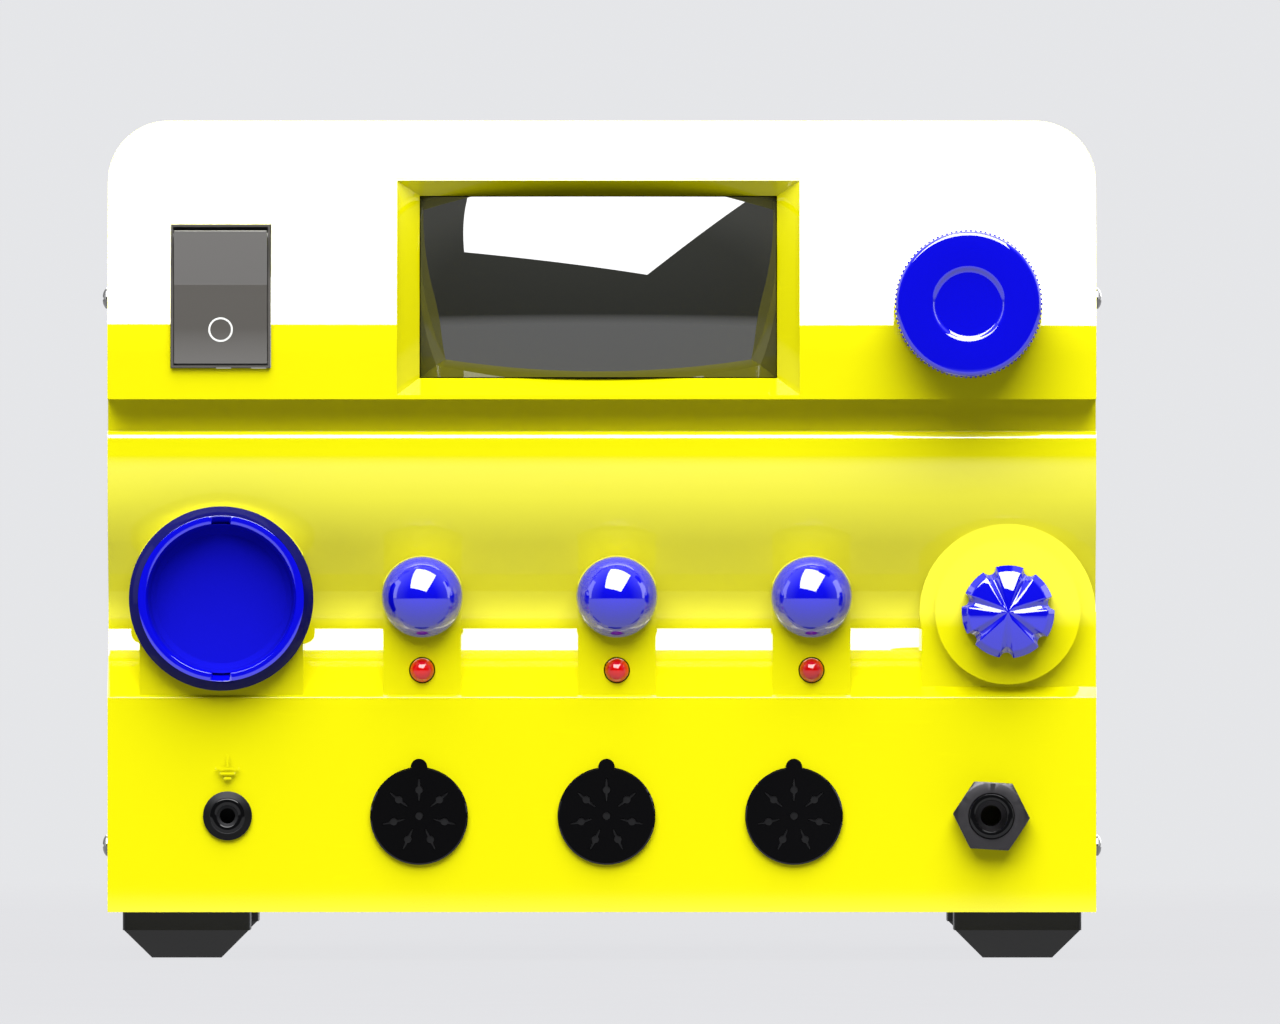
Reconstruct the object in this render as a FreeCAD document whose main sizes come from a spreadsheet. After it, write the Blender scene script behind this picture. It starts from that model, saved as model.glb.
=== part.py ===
"""Bench soldering and rework station: a three-channel mains unit with its controls on the front.

The row frame has +X to the right, +Y into the station and +Z up. The origin lies on the bench,
under the middle of the station. A depth is measured from the lower front panel towards the back.
"""
import FreeCAD, Part
import math
import os
from types import SimpleNamespace

import Sketcher
from FreeCAD import Placement, Rotation, Vector

document = FreeCAD.newDocument("SolderingStation")
sheet = document.addObject("Spreadsheet::Sheet", "Sizes")

DRIVING_SIZES = (
    # housing
    ("body_width", 192.0, "housing width over its sides"),
    ("body_depth", 220.0, "lower front panel to back panel"),
    ("body_base", 9.3, "underside of the housing above the bench"),
    ("body_top", 163.1, "top of the housing above the bench"),
    ("corner_radius", 11.65, "long top corners of the housing"),
    ("front_proud", 17.5, "how far the adjustment dial stands before the lower front panel"),
    ("rear_proud", 4.5, "how far the fan guard stands behind the back panel"),
    ("panel_depth", 30.0, "depth of the two front mouldings"),
    ("panel_wall", 2.5, "wall of the front mouldings"),
    ("cover_wall", 1.2, "steel sheet of the cover"),
    ("tray_wall", 1.5, "steel sheet of the tray, bulkhead and back panel"),
    ("flange_width", 14.0, "turned-in flanges of tray, bulkhead and back panel"),
    ("bulkhead_band", 4.2, "band that the bulkhead keeps round its opening"),
    ("seam", 0.2, "gap between sheets that slide together"),
    # side section of the lower front moulding
    ("ledge_top", 51.0, "front edge of the sloping shelf"),
    ("shelf_depth", 9.5, "where the shelf turns into the hollow"),
    ("shelf_top", 58.0, "height there"),
    ("hollow_radius", 10.1, "finger hollow behind the buttons"),
    ("hollow_depth", 11.7, "where the hollow turns into its roof"),
    ("hollow_top", 71.6, "height there"),
    ("roof_depth", 5.1, "where the roof turns into the lip"),
    ("roof_top", 81.3, "height there"),
    ("lip_radius", 30.0, "curve of the lip over the hollow"),
    ("lip_top", 98.0, "where the lip turns upright"),
    ("groove_floor", 102.7, "floor of the groove between the mouldings"),
    ("groove_depth", 6.0, "depth of that groove"),
    ("groove_roof", 108.9, "underside of the upper moulding"),
    ("edge_radius", 1.6, "rounding of the front edge under the groove"),
    ("ledge_radius", 0.12, "rounding of the front edge of the shelf"),
    # side section of the upper front moulding
    ("brow_proud", 2.5, "how far the upper moulding stands before the lower one"),
    ("brow_start", 118.3, "where its face starts to lean back"),
    ("brow_radius", 32.0, "curve of the brow"),
    ("brow_end", 130.3, "where the curve ends"),
    ("brow_end_depth", -0.17, "depth there"),
    ("crown_depth", 13.1, "depth of the top front edge"),
    # display
    ("display_shift", -0.7, "middle of the display from the middle of the station"),
    ("bezel_width", 79.0, "outside width of the display bezel"),
    ("bezel_bottom", 109.4, "lower outside edge of the bezel"),
    ("bezel_top", 151.8, "upper outside edge of the bezel"),
    ("bezel_top_depth", 8.6, "depth of the bezel's upper outside edge"),
    ("bezel_back", 14.6, "depth of the bezel's back"),
    ("window_width", 69.5, "width of the display window"),
    ("window_bottom", 113.0, "lower edge of the window"),
    ("window_top", 148.5, "upper edge of the window"),
    ("window_bottom_depth", 5.9, "depth of the window's lower edge"),
    ("window_top_depth", 12.4, "depth of the window's upper edge"),
    ("window_radius", 31.3, "crown of the window"),
    ("window_wall", 1.6, "thickness of the window at its edge"),
    ("board_thickness", 1.6, "circuit boards"),
    # mains switch
    ("rocker_inset", 22.0, "middle of the mains switch from the left side"),
    ("rocker_height", 128.9, "height of its middle"),
    ("rocker_width", 19.3, "switch frame width"),
    ("rocker_tall", 27.8, "switch frame height"),
    ("rocker_rim", 0.45, "rim of the switch frame"),
    ("rocker_gap", 0.15, "clearance between that rim and the rocker"),
    ("rocker_proud", 3.6, "switch frame before the lower front panel"),
    ("rocker_travel", 14.0, "rocker tilt between off and on, degrees"),
    # adjustment dial
    ("dial_inset", 24.95, "middle of the dial from the right side"),
    ("dial_height", 127.3, "height of the dial"),
    ("dial_radius", 14.37, "outside radius of the dial"),
    ("dial_gap", 0.8, "gap behind the dial"),
    ("dial_dimple", 6.8, "radius of the dimple in its face"),
    ("spindle_radius", 3.0, "encoder spindle"),
    ("running_gap", 0.06, "radial clearance of a part that turns or slides"),
    # channel buttons and lamps
    ("button_shift", 2.9, "middle button from the middle of the station"),
    ("button_pitch", 37.8, "spacing of the channel buttons"),
    ("button_height", 70.5, "height of the buttons"),
    ("button_radius", 7.86, "domed head of a button"),
    ("button_stroke", 1.2, "travel of a button"),
    ("stem_radius", 5.2, "stem of a button"),
    ("boss_depth", 0.6, "depth of the boss faces"),
    ("button_boss_radius", 8.05, "arch over a button boss"),
    ("button_boss_half", 7.56, "half width of a button boss"),
    ("boss_back", 16.2, "depth of the back of the bosses"),
    ("lamp_radius", 2.35, "channel lamp"),
    ("lamp_height", 56.3, "height of the lamps"),
    ("switch_board_depth", 23.4, "depth of the button board"),
    # filter
    ("filter_inset", 22.1, "filter from the left side"),
    ("filter_height", 70.2, "height of the filter"),
    ("filter_cap_radius", 17.9, "outside radius of the filter cap"),
    ("filter_cap_proud", 7.0, "filter cap before the lower front panel"),
    ("filter_ring_radius", 16.1, "outer edge of its flat ring"),
    ("filter_dish_radius", 14.6, "dish in the cap"),
    ("filter_dish_deep", 6.6, "depth of that dish"),
    ("filter_boss_half", 15.9, "half width of the filter boss"),
    ("filter_boss_radius", 18.1, "arch over the filter boss"),
    ("filter_case_radius", 11.6, "glass filter case"),
    ("filter_case_length", 62.0, "its length behind the boss face"),
    # air valve
    ("valve_inset", 17.2, "air valve from the right side"),
    ("valve_height", 67.6, "height of the air valve"),
    ("valve_collar_radius", 17.1, "wide end of the valve collar"),
    ("valve_face_radius", 14.07, "flat face of the valve collar"),
    ("valve_face_depth", -1.2, "depth of that face, which stands before the panel"),
    ("valve_collar_cone", 4.3, "depth of the collar's cone"),
    ("valve_boss_depth", 2.8, "depth of the valve boss face"),
    ("valve_boss_half", 16.7, "half width of the valve boss on its inner side"),
    ("valve_knob_radius", 9.0, "lobed valve knob"),
    ("valve_knob_tall", 8.5, "height of the knob over the collar face"),
    # sockets
    ("socket_height", 28.0, "height of the handpiece sockets"),
    ("socket_shift", 0.9, "middle socket from the middle of the station"),
    ("socket_pitch", 36.4, "spacing of the sockets"),
    ("socket_radius", 9.5, "flange of a socket"),
    ("socket_flange", 1.4, "thickness of that flange"),
    ("socket_barrel", 8.3, "threaded barrel of a socket"),
    ("socket_length", 16.0, "barrel behind the panel face"),
    ("contact_circle", 5.05, "circle of the seven outer contacts"),
    ("contact_radius", 0.8, "one contact"),
    # ground jack and air outlet
    ("jack_inset", 23.3, "ground jack from the left side"),
    ("jack_radius", 4.76, "flange of the ground jack"),
    ("jack_bore", 1.5, "bore of the ground jack"),
    ("outlet_inset", 20.4, "air outlet from the right side"),
    ("outlet_across_flats", 13.0, "hexagon of the air outlet"),
    ("outlet_hex_tall", 5.0, "height of that hexagon"),
    ("collet_radius", 4.3, "release ring of the air outlet"),
    ("tube_radius", 3.0, "outside radius of the air tube that the outlet takes"),
    ("collet_stroke", 0.6, "travel of the release ring"),
    # feet and screws
    ("foot_width", 24.85, "rubber foot"),
    ("foot_skirt", 3.9, "upright part of a foot"),
    ("foot_inset", 14.9, "middle of a foot from the side of the housing"),
    ("front_foot_depth", 46.0, "middle of the front feet"),
    ("rear_foot_margin", 22.0, "middle of the rear feet from the back panel"),
    ("screw_radius", 1.25, "small machine screws"),
    ("screw_head_radius", 2.05, "their heads"),
    ("screw_head_tall", 1.55, "height of their heads"),
    ("side_screw_low", 21.9, "lower row of side screws"),
    ("side_screw_high", 128.7, "upper row of side screws"),
    # back panel
    ("fan_half", 30.0, "half of the fan's square frame"),
    ("fan_thickness", 20.0, "fan frame"),
    ("fan_rotor_radius", 26.5, "tips of the fan blades"),
    ("fan_inset", 52.0, "fan from the right side"),
    ("fan_height", 112.0, "height of the fan"),
    ("inlet_inset", 42.0, "mains inlet from the left side"),
    ("inlet_height", 42.0, "height of the mains inlet"),
    ("inlet_width", 27.5, "body of the mains inlet"),
    ("inlet_tall", 20.0, "its height"),
    ("inlet_cavity", 16.0, "depth of its cavity"),
    ("fuse_radius", 6.2, "barrel of the fuse holder"),
    # power supply and pump
    ("toroid_radius", 44.0, "toroidal transformer"),
    ("toroid_bore", 16.0, "hole through it"),
    ("toroid_tall", 46.0, "its height"),
    ("toroid_shift", -38.0, "its middle from the middle of the station"),
    ("toroid_depth", 145.0, "its depth"),
    ("main_board_depth", 44.0, "front edge of the main board"),
    ("main_board_long", 50.0, "depth of the main board"),
    ("standoff", 8.0, "height of the board spacers"),
    ("pump_inset", 40.0, "pump from the right side"),
    ("pump_depth", 150.0, "depth of the pump motor's axis"),
    ("pump_height", 44.0, "height of the pump motor's axis"),
    ("pump_motor_radius", 15.0, "pump motor"),
    ("pump_motor_long", 34.0, "its length"),
    ("pump_throw", 1.5, "throw of the pump's eccentric"),
)


class Length:
    """A size that knows its value in millimetres and the sheet formula that gives it."""

    def __init__(self, value, formula=None):
        self.value = float(value)
        self.formula = formula or f"{self.value:.10g}"

    def __add__(self, other):
        other = as_length(other)
        return Length(self.value + other.value, f"({self.formula} + {other.formula})")

    def __sub__(self, other):
        other = as_length(other)
        return Length(self.value - other.value, f"({self.formula} - {other.formula})")

    def __mul__(self, other):
        other = as_length(other)
        return Length(self.value * other.value, f"({self.formula} * {other.formula})")

    def __truediv__(self, other):
        other = as_length(other)
        return Length(self.value / other.value, f"({self.formula} / {other.formula})")

    def __radd__(self, other):
        return as_length(other) + self

    def __rsub__(self, other):
        return as_length(other) - self

    def __rmul__(self, other):
        return as_length(other) * self

    def __neg__(self):
        return as_length(0) - self


def as_length(number):
    """Give a plain number as a Length, and a Length as itself."""
    return number if isinstance(number, Length) else Length(number)


def slope_length(run, rise):
    """Length of the slope over a run and a rise."""
    return Length(math.hypot(run.value, rise.value), f"sqrt({run.formula}^2 + {rise.formula}^2)")


def fill_sheet():
    """Write the driving sizes into the sheet and give them back by name."""
    named = {}
    for row, (alias, value, note) in enumerate(DRIVING_SIZES, start=1):
        sheet.set(f"A{row}", note)
        sheet.set(f"B{row}", str(value))
        sheet.setAlias(f"B{row}", alias)
        named[alias] = Length(value, f"Sizes.{alias}")
    document.recompute()
    return SimpleNamespace(**named)


size = fill_sheet()

HALF_WIDTH = size.body_width / 2
FRONT = (size.front_proud - size.rear_proud - size.body_depth) / 2
BACK = FRONT + size.body_depth
TRAY_FLOOR = size.body_base + size.tray_wall
INSIDE_HALF = HALF_WIDTH - size.cover_wall

# How a piece is turned from the frame it is drawn in: its own +Z points this way.
FACING = {
    "up": Rotation(),
    "down": Rotation(Vector(1, 0, 0), 180),
    "front": Rotation(Vector(1, 0, 0), 90),
    "back": Rotation(Vector(0, 0, 1), 180) * Rotation(Vector(1, 0, 0), 90),
    "left": Rotation(Vector(0, 1, 0), -90),
    "right": Rotation(Vector(0, 1, 0), 90),
}


# ---------------------------------------------------------------- drawing aids

def bind(thing, path, length):
    """Tie a property of an object to the sheet."""
    thing.setExpression(path, as_length(length).formula)


def place(thing, x=0, y=0, z=0, facing="up"):
    """Give a piece its Placement, with its position tied to the sheet."""
    position = [as_length(part) for part in (x, y, z)]
    thing.Placement = Placement(Vector(*[part.value for part in position]), FACING[facing])
    for axis, part in zip("xyz", position):
        bind(thing, f"Placement.Base.{axis}", part)


def new_body(label, x=0, y=0, z=0, facing="up"):
    """Start a sub-part."""
    body = document.addObject("PartDesign::Body", label)
    body.Label = label
    place(body, x, y, z, facing)
    return body


def new_sketch(body, plane="XY_Plane", lift=0):
    """Start a sketch on one of the body's own origin planes, lifted along the plane's normal."""
    sketch = body.newObject("Sketcher::SketchObject", f"{body.Name}_sketch")
    support = next(item for item in body.Origin.OriginFeatures if item.Role == plane)
    sketch.AttachmentSupport = [(support, "")]
    sketch.MapMode = "FlatFace"
    lift = as_length(lift)
    sketch.AttachmentOffset = Placement(Vector(0, 0, lift.value), Rotation())
    bind(sketch, "AttachmentOffset.Base.z", lift)
    return sketch


def constrain(sketch, kind, *where, length):
    """Add a dimension to a sketch and tie it to the sheet."""
    index = sketch.addConstraint(Sketcher.Constraint(kind, *where, as_length(length).value))
    bind(sketch, f"Constraints[{index}]", length)


def circle(sketch, x, y, radius):
    """Draw a dimensioned circle."""
    x, y, radius = as_length(x), as_length(y), as_length(radius)
    ring = Part.Circle(Vector(x.value, y.value, 0), Vector(0, 0, 1), radius.value)
    index = sketch.addGeometry(ring)
    constrain(sketch, "DistanceX", -1, 1, index, 3, length=x)
    constrain(sketch, "DistanceY", -1, 1, index, 3, length=y)
    constrain(sketch, "Radius", index, length=radius)


def arc_between(start, end, radius):
    """Arc from start to end: a positive radius turns left on the way, a negative one right."""
    chord = end - start
    middle = (start + end) / 2
    rise = math.sqrt(max(radius * radius - chord.Length ** 2 / 4, 0.0))
    left = Vector(-chord.y, chord.x, 0).normalize()
    centre = middle + left * math.copysign(rise, radius)
    first, last = (start, end) if radius > 0 else (end, start)
    angles = [math.atan2(point.y - centre.y, point.x - centre.x) for point in (first, last)]
    ring = Part.Circle(centre, Vector(0, 0, 1), abs(radius))
    return Part.ArcOfCircle(ring, angles[0], angles[1])


def outline(sketch, corners):
    """Draw a closed, fully dimensioned outline.

    Each corner is (x, y) or (x, y, radius); a radius makes the side that leaves that corner an arc.
    """
    places = [(as_length(corner[0]), as_length(corner[1])) for corner in corners]
    points = [Vector(x.value, y.value, 0) for x, y in places]
    ends = []
    for number, corner in enumerate(corners):
        start, end = points[number], points[(number + 1) % len(points)]
        if len(corner) == 2:
            index = sketch.addGeometry(Part.LineSegment(start, end))
            ends.append((index, 1, 2))
            continue
        radius = as_length(corner[2])
        index = sketch.addGeometry(arc_between(start, end, radius.value))
        ends.append((index, 1, 2) if radius.value > 0 else (index, 2, 1))
        constrain(sketch, "Radius", index, length=radius if radius.value > 0 else -radius)
    for number, (index, _, last) in enumerate(ends):
        following, first, _ = ends[(number + 1) % len(ends)]
        sketch.addConstraint(Sketcher.Constraint("Coincident", index, last, following, first))
    for (index, first, _), (x, y) in zip(ends, places):
        constrain(sketch, "DistanceX", -1, 1, index, first, length=x)
        constrain(sketch, "DistanceY", -1, 1, index, first, length=y)


def rectangle(sketch, x, y, width, tall):
    """Draw a dimensioned rectangle about its middle."""
    x, y, width, tall = (as_length(number) for number in (x, y, width, tall))
    outline(sketch, [(x - width / 2, y - tall / 2), (x + width / 2, y - tall / 2),
                     (x + width / 2, y + tall / 2), (x - width / 2, y + tall / 2)])


def hexagon(sketch, x, y, across_flats):
    """Draw a dimensioned hexagon with two corners level."""
    x, y, flats = as_length(x), as_length(y), as_length(across_flats)
    reach = flats / math.sqrt(3)
    outline(sketch, [(x + reach, y), (x + reach / 2, y + flats / 2), (x - reach / 2, y + flats / 2),
                     (x - reach, y), (x - reach / 2, y - flats / 2), (x + reach / 2, y - flats / 2)])


def extrude(body, kind, sketch, length, backwards=False, both=False, taper=0.0):
    """Pad or pocket a sketch."""
    feature = body.newObject(f"PartDesign::{kind}", f"{body.Name}_{kind.lower()}")
    feature.Profile = sketch
    bind(feature, "Length", length)
    feature.Reversed = backwards
    if both:
        feature.SideType = "Symmetric"
    if taper:
        feature.TaperAngle = taper
    document.recompute()
    body.Tip = feature
    return feature


def pad(body, sketch, length, **options):
    """Add material along a sketch's normal."""
    return extrude(body, "Pad", sketch, length, **options)


def pocket(body, sketch, length, **options):
    """Take material away against a sketch's normal, and check that it did."""
    before = body.Shape.Volume
    feature = extrude(body, "Pocket", sketch, length, **options)
    if body.Shape.Volume > before - 1e-3:
        raise ValueError(f"{body.Label}: a pocket cuts nothing")
    return feature


def turned(body, corners, kind="Revolution"):
    """Turn an outline of (radius, height) corners about the body's Z axis."""
    sketch = new_sketch(body, "XZ_Plane")
    outline(sketch, corners)
    feature = body.newObject(f"PartDesign::{kind}", f"{body.Name}_{kind.lower()}")
    feature.Profile = sketch
    feature.ReferenceAxis = (sketch, ["V_Axis"])
    feature.Angle = 360
    document.recompute()
    body.Tip = feature
    return feature


def round_edges(body, test, radius):
    """Fillet the edges of a body that pass a test."""
    base = body.Tip
    names = [f"Edge{number}" for number, edge in enumerate(base.Shape.Edges, start=1) if test(edge)]
    feature = body.newObject("PartDesign::Fillet", f"{body.Name}_fillet")
    feature.Base = (base, names)
    bind(feature, "Radius", radius)
    document.recompute()
    body.Tip = feature
    return feature


def around(body, features, count, sketch):
    """Repeat features about the normal of their sketch."""
    feature = body.newObject("PartDesign::PolarPattern", f"{body.Name}_ring")
    feature.Originals = features
    feature.Axis = (sketch, ["N_Axis"])
    feature.Angle = 360
    feature.Occurrences = count
    body.Tip = feature
    document.recompute()
    return feature


def along(body, features, sketch, first, second=None):
    """Repeat features in a row, or in a grid: each direction is (sketch axis, length, count)."""
    feature = body.newObject("PartDesign::LinearPattern", f"{body.Name}_row")
    feature.Originals = features
    for ending, direction in (("", first), ("2", second)):
        if not direction:
            continue
        axis, length, count = direction[0], as_length(direction[1]), direction[2]
        setattr(feature, f"Direction{ending}", (sketch, [axis]))
        setattr(feature, f"Reversed{ending}", length.value < 0)
        bind(feature, f"Length{ending}", -length if length.value < 0 else length)
        setattr(feature, f"Occurrences{ending}", count)
    body.Tip = feature
    document.recompute()
    return feature


def lies_along(edge, axis, *, where):
    """Tell whether a straight edge runs along an axis and its middle passes a test."""
    if not isinstance(edge.Curve, Part.Line):
        return False
    return abs(abs(edge.Curve.Direction.dot(axis)) - 1) < 1e-6 and where(edge.CenterOfMass)


def mirrored(body):
    """Repeat the whole body on the far side of its XY plane."""
    feature = body.newObject("PartDesign::Mirrored", f"{body.Name}_mirrored")
    feature.TransformMode = "Whole shape"
    plane = next(item for item in body.Origin.OriginFeatures if item.Role == "XY_Plane")
    feature.MirrorPlane = (plane, [""])
    body.Tip = feature
    document.recompute()
    return feature


def screw(body, radius, long, head_radius, head_tall, seat=0):
    """One pan-head screw along the body's Z axis, with its head on the +Z side of its seat."""
    crown = head_tall * 0.55
    turned(body, [(0, seat - long), (radius, seat - long), (radius, seat), (head_radius, seat),
                  (head_radius, seat + crown), (head_radius * 0.6, seat + head_tall),
                  (0, seat + head_tall)])
    shank = body.Tip
    sketch = new_sketch(body, "XY_Plane", seat + head_tall)
    arm, slit = head_radius * 0.62, head_radius * 0.16
    outline(sketch, [(arm, slit), (slit, slit), (slit, arm), (-slit, arm), (-slit, slit), (-arm, slit),
                     (-arm, -slit), (-slit, -slit), (-slit, -arm), (slit, -arm), (slit, -slit),
                     (arm, -slit)])
    return [shank, pocket(body, sketch, head_tall * 0.5)], sketch


# ---------------------------------------------------------------- front mouldings

def station_x(inset, side):
    """X of something set in from the left (-1) or right (+1) side of the housing."""
    return (HALF_WIDTH - inset) * side


rocker_x = station_x(size.rocker_inset, -1)
dial_x = station_x(size.dial_inset, 1)
filter_x = station_x(size.filter_inset, -1)
valve_x = station_x(size.valve_inset, 1)
jack_x = station_x(size.jack_inset, -1)
outlet_x = station_x(size.outlet_inset, 1)
button_xs = [size.button_shift + size.button_pitch * number for number in (-1, 0, 1)]
socket_xs = [size.socket_shift + size.socket_pitch * number for number in (-1, 0, 1)]
OUTLET_THREAD = size.collet_radius + 1.6
JACK_THREAD = size.jack_bore + 1.5
VALVE_NOSE = size.spindle_radius + 3.0


def arch(sketch, x, middle, half, radius, foot):
    """Outline of a boss: upright sides from its foot, and an arch over its middle."""
    drop = Length(math.sqrt(radius.value ** 2 - half.value ** 2),
                  f"sqrt({radius.formula}^2 - {half.formula}^2)")
    outline(sketch, [(x - half, foot), (x + half, foot), (x + half, middle + drop, radius),
                     (x - half, middle + drop)])


def lower_section(wall):
    """Side section of the lower front moulding, inset by a wall from its outside."""
    rise = wall
    return [
        (size.panel_depth, size.body_base + rise),
        (wall, size.body_base + rise),
        (wall, size.ledge_top - wall * 0.505),
        (size.shelf_depth + wall * 0.616, size.shelf_top - wall * 0.788, size.hollow_radius + wall),
        (size.hollow_depth + wall * 0.832, size.hollow_top + wall * 0.554),
        (size.roof_depth + wall * 0.83, size.roof_top + wall * 0.557, wall - size.lip_radius),
        (wall, size.lip_top),
        (wall, size.groove_floor - wall),
        (size.groove_depth + wall, size.groove_floor - wall),
        (size.groove_depth + wall, size.groove_roof - wall),
        (size.panel_depth, size.groove_roof - wall),
    ]


def build_lower_panel():
    """Lower moulding: socket face, finger hollow, bosses for the filter, buttons and valve."""
    body = new_body("lower_front_panel", y=FRONT)
    sketch = new_sketch(body, "YZ_Plane")
    outline(sketch, lower_section(Length(0)))
    pad(body, sketch, size.body_width, both=True)
    sketch = new_sketch(body, "YZ_Plane")
    outline(sketch, lower_section(size.panel_wall))
    pocket(body, sketch, size.body_width - size.panel_wall * 2, both=True)

    for level, radius in ((size.ledge_top, size.ledge_radius), (size.groove_floor, size.edge_radius)):
        round_edges(body, lambda edge, level=level: lies_along(
            edge, Vector(1, 0, 0),
            where=lambda at: abs(at.y) < 0.1 and abs(at.z - level.value) < 0.1),
            radius)

    # bosses stand in the hollow and reach through its wall
    sketch = new_sketch(body, "XZ_Plane", -size.boss_depth)
    arch(sketch, filter_x, size.filter_height, size.filter_boss_half, size.filter_boss_radius,
         size.ledge_top - 1)
    for x in button_xs:
        arch(sketch, x, size.button_height, size.button_boss_half, size.button_boss_radius,
             size.ledge_top - 1)
    pad(body, sketch, size.boss_back - size.boss_depth, backwards=True)
    sketch = new_sketch(body, "XZ_Plane", -size.valve_boss_depth)
    outline(sketch, [(valve_x - size.valve_boss_half, size.ledge_top - 1), (HALF_WIDTH, size.ledge_top - 1),
                     (HALF_WIDTH, size.valve_height), (valve_x - size.valve_boss_half, size.valve_height)])
    pad(body, sketch, size.boss_back - size.valve_boss_depth, backwards=True)
    sketch = new_sketch(body, "XZ_Plane", -size.valve_face_depth)
    circle(sketch, valve_x, size.valve_height, size.valve_face_radius)
    cone_angle = math.degrees(math.atan((size.valve_collar_radius.value - size.valve_face_radius.value)
                                        / size.valve_collar_cone.value))
    pad(body, sketch, size.valve_collar_cone, backwards=True, taper=-cone_angle)
    sketch = new_sketch(body, "XZ_Plane", -(size.valve_face_depth + size.valve_collar_cone))
    circle(sketch, valve_x, size.valve_height, size.valve_collar_radius)
    pad(body, sketch, size.boss_back - size.valve_face_depth - size.valve_collar_cone, backwards=True)
    # openings for what passes through the moulding
    sketch = new_sketch(body, "XZ_Plane", size.front_proud)
    for x in socket_xs:
        circle(sketch, x, size.socket_height, size.socket_barrel + size.seam)
    circle(sketch, jack_x, size.socket_height, JACK_THREAD + size.seam)
    circle(sketch, outlet_x, size.socket_height, OUTLET_THREAD + size.seam)
    circle(sketch, filter_x, size.filter_height, size.filter_case_radius + size.seam)
    circle(sketch, valve_x, size.valve_height, VALVE_NOSE + size.seam)
    for x in button_xs:
        circle(sketch, x, size.button_height, size.stem_radius + size.running_gap)
        circle(sketch, x, size.lamp_height, size.lamp_radius + size.seam)
    pocket(body, sketch, size.front_proud + size.panel_depth)


def upper_section(wall):
    """Side section of the upper front moulding, inset by a wall from its outside."""
    return [
        (size.panel_depth, size.groove_roof + wall),
        (wall - size.brow_proud, size.groove_roof + wall),
        (wall - size.brow_proud, size.brow_start, wall - size.brow_radius),
        (size.brow_end_depth + wall * 0.927, size.brow_end - wall * 0.375),
        (size.crown_depth + wall * 0.675, size.body_top - wall),
        (size.panel_depth, size.body_top - wall),
    ]


def build_upper_panel():
    """Upper moulding: leaning face with openings for the display, mains switch and dial."""
    body = new_body("upper_front_panel", y=FRONT)
    sketch = new_sketch(body, "YZ_Plane")
    outline(sketch, upper_section(Length(0)))
    pad(body, sketch, size.body_width, both=True)
    sketch = new_sketch(body, "YZ_Plane")
    outline(sketch, upper_section(size.panel_wall))
    pocket(body, sketch, size.body_width - size.panel_wall * 2, both=True)
    inner_top = (size.body_top - size.panel_wall).value
    round_edges(body, lambda edge: lies_along(
        edge, Vector(0, 1, 0),
        where=lambda at: abs(at.z - inner_top) < 0.1 and abs(at.x) > HALF_WIDTH.value - 5),
        size.corner_radius - size.panel_wall)
    round_edges(body, lambda edge: lies_along(
        edge, Vector(0, 1, 0),
        where=lambda at: abs(at.z - size.body_top.value) < 0.1 and abs(at.x) > HALF_WIDTH.value - 0.1),
        size.corner_radius)

    # flat round seat for the dial's bushing
    sketch = new_sketch(body, "XZ_Plane", size.brow_proud)
    circle(sketch, dial_x, size.dial_height, size.spindle_radius + 5)
    pad(body, sketch, size.brow_proud + 5, backwards=True)

    sketch = new_sketch(body, "XZ_Plane", size.front_proud)
    rectangle(sketch, size.display_shift, (size.bezel_bottom + size.bezel_top) / 2,
              size.bezel_width, size.bezel_top - size.bezel_bottom)
    rectangle(sketch, rocker_x, size.rocker_height, size.rocker_width + size.seam,
              size.rocker_tall + size.seam)
    circle(sketch, dial_x, size.dial_height, size.spindle_radius + 1.5)
    pocket(body, sketch, size.front_proud + size.panel_depth)


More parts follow.
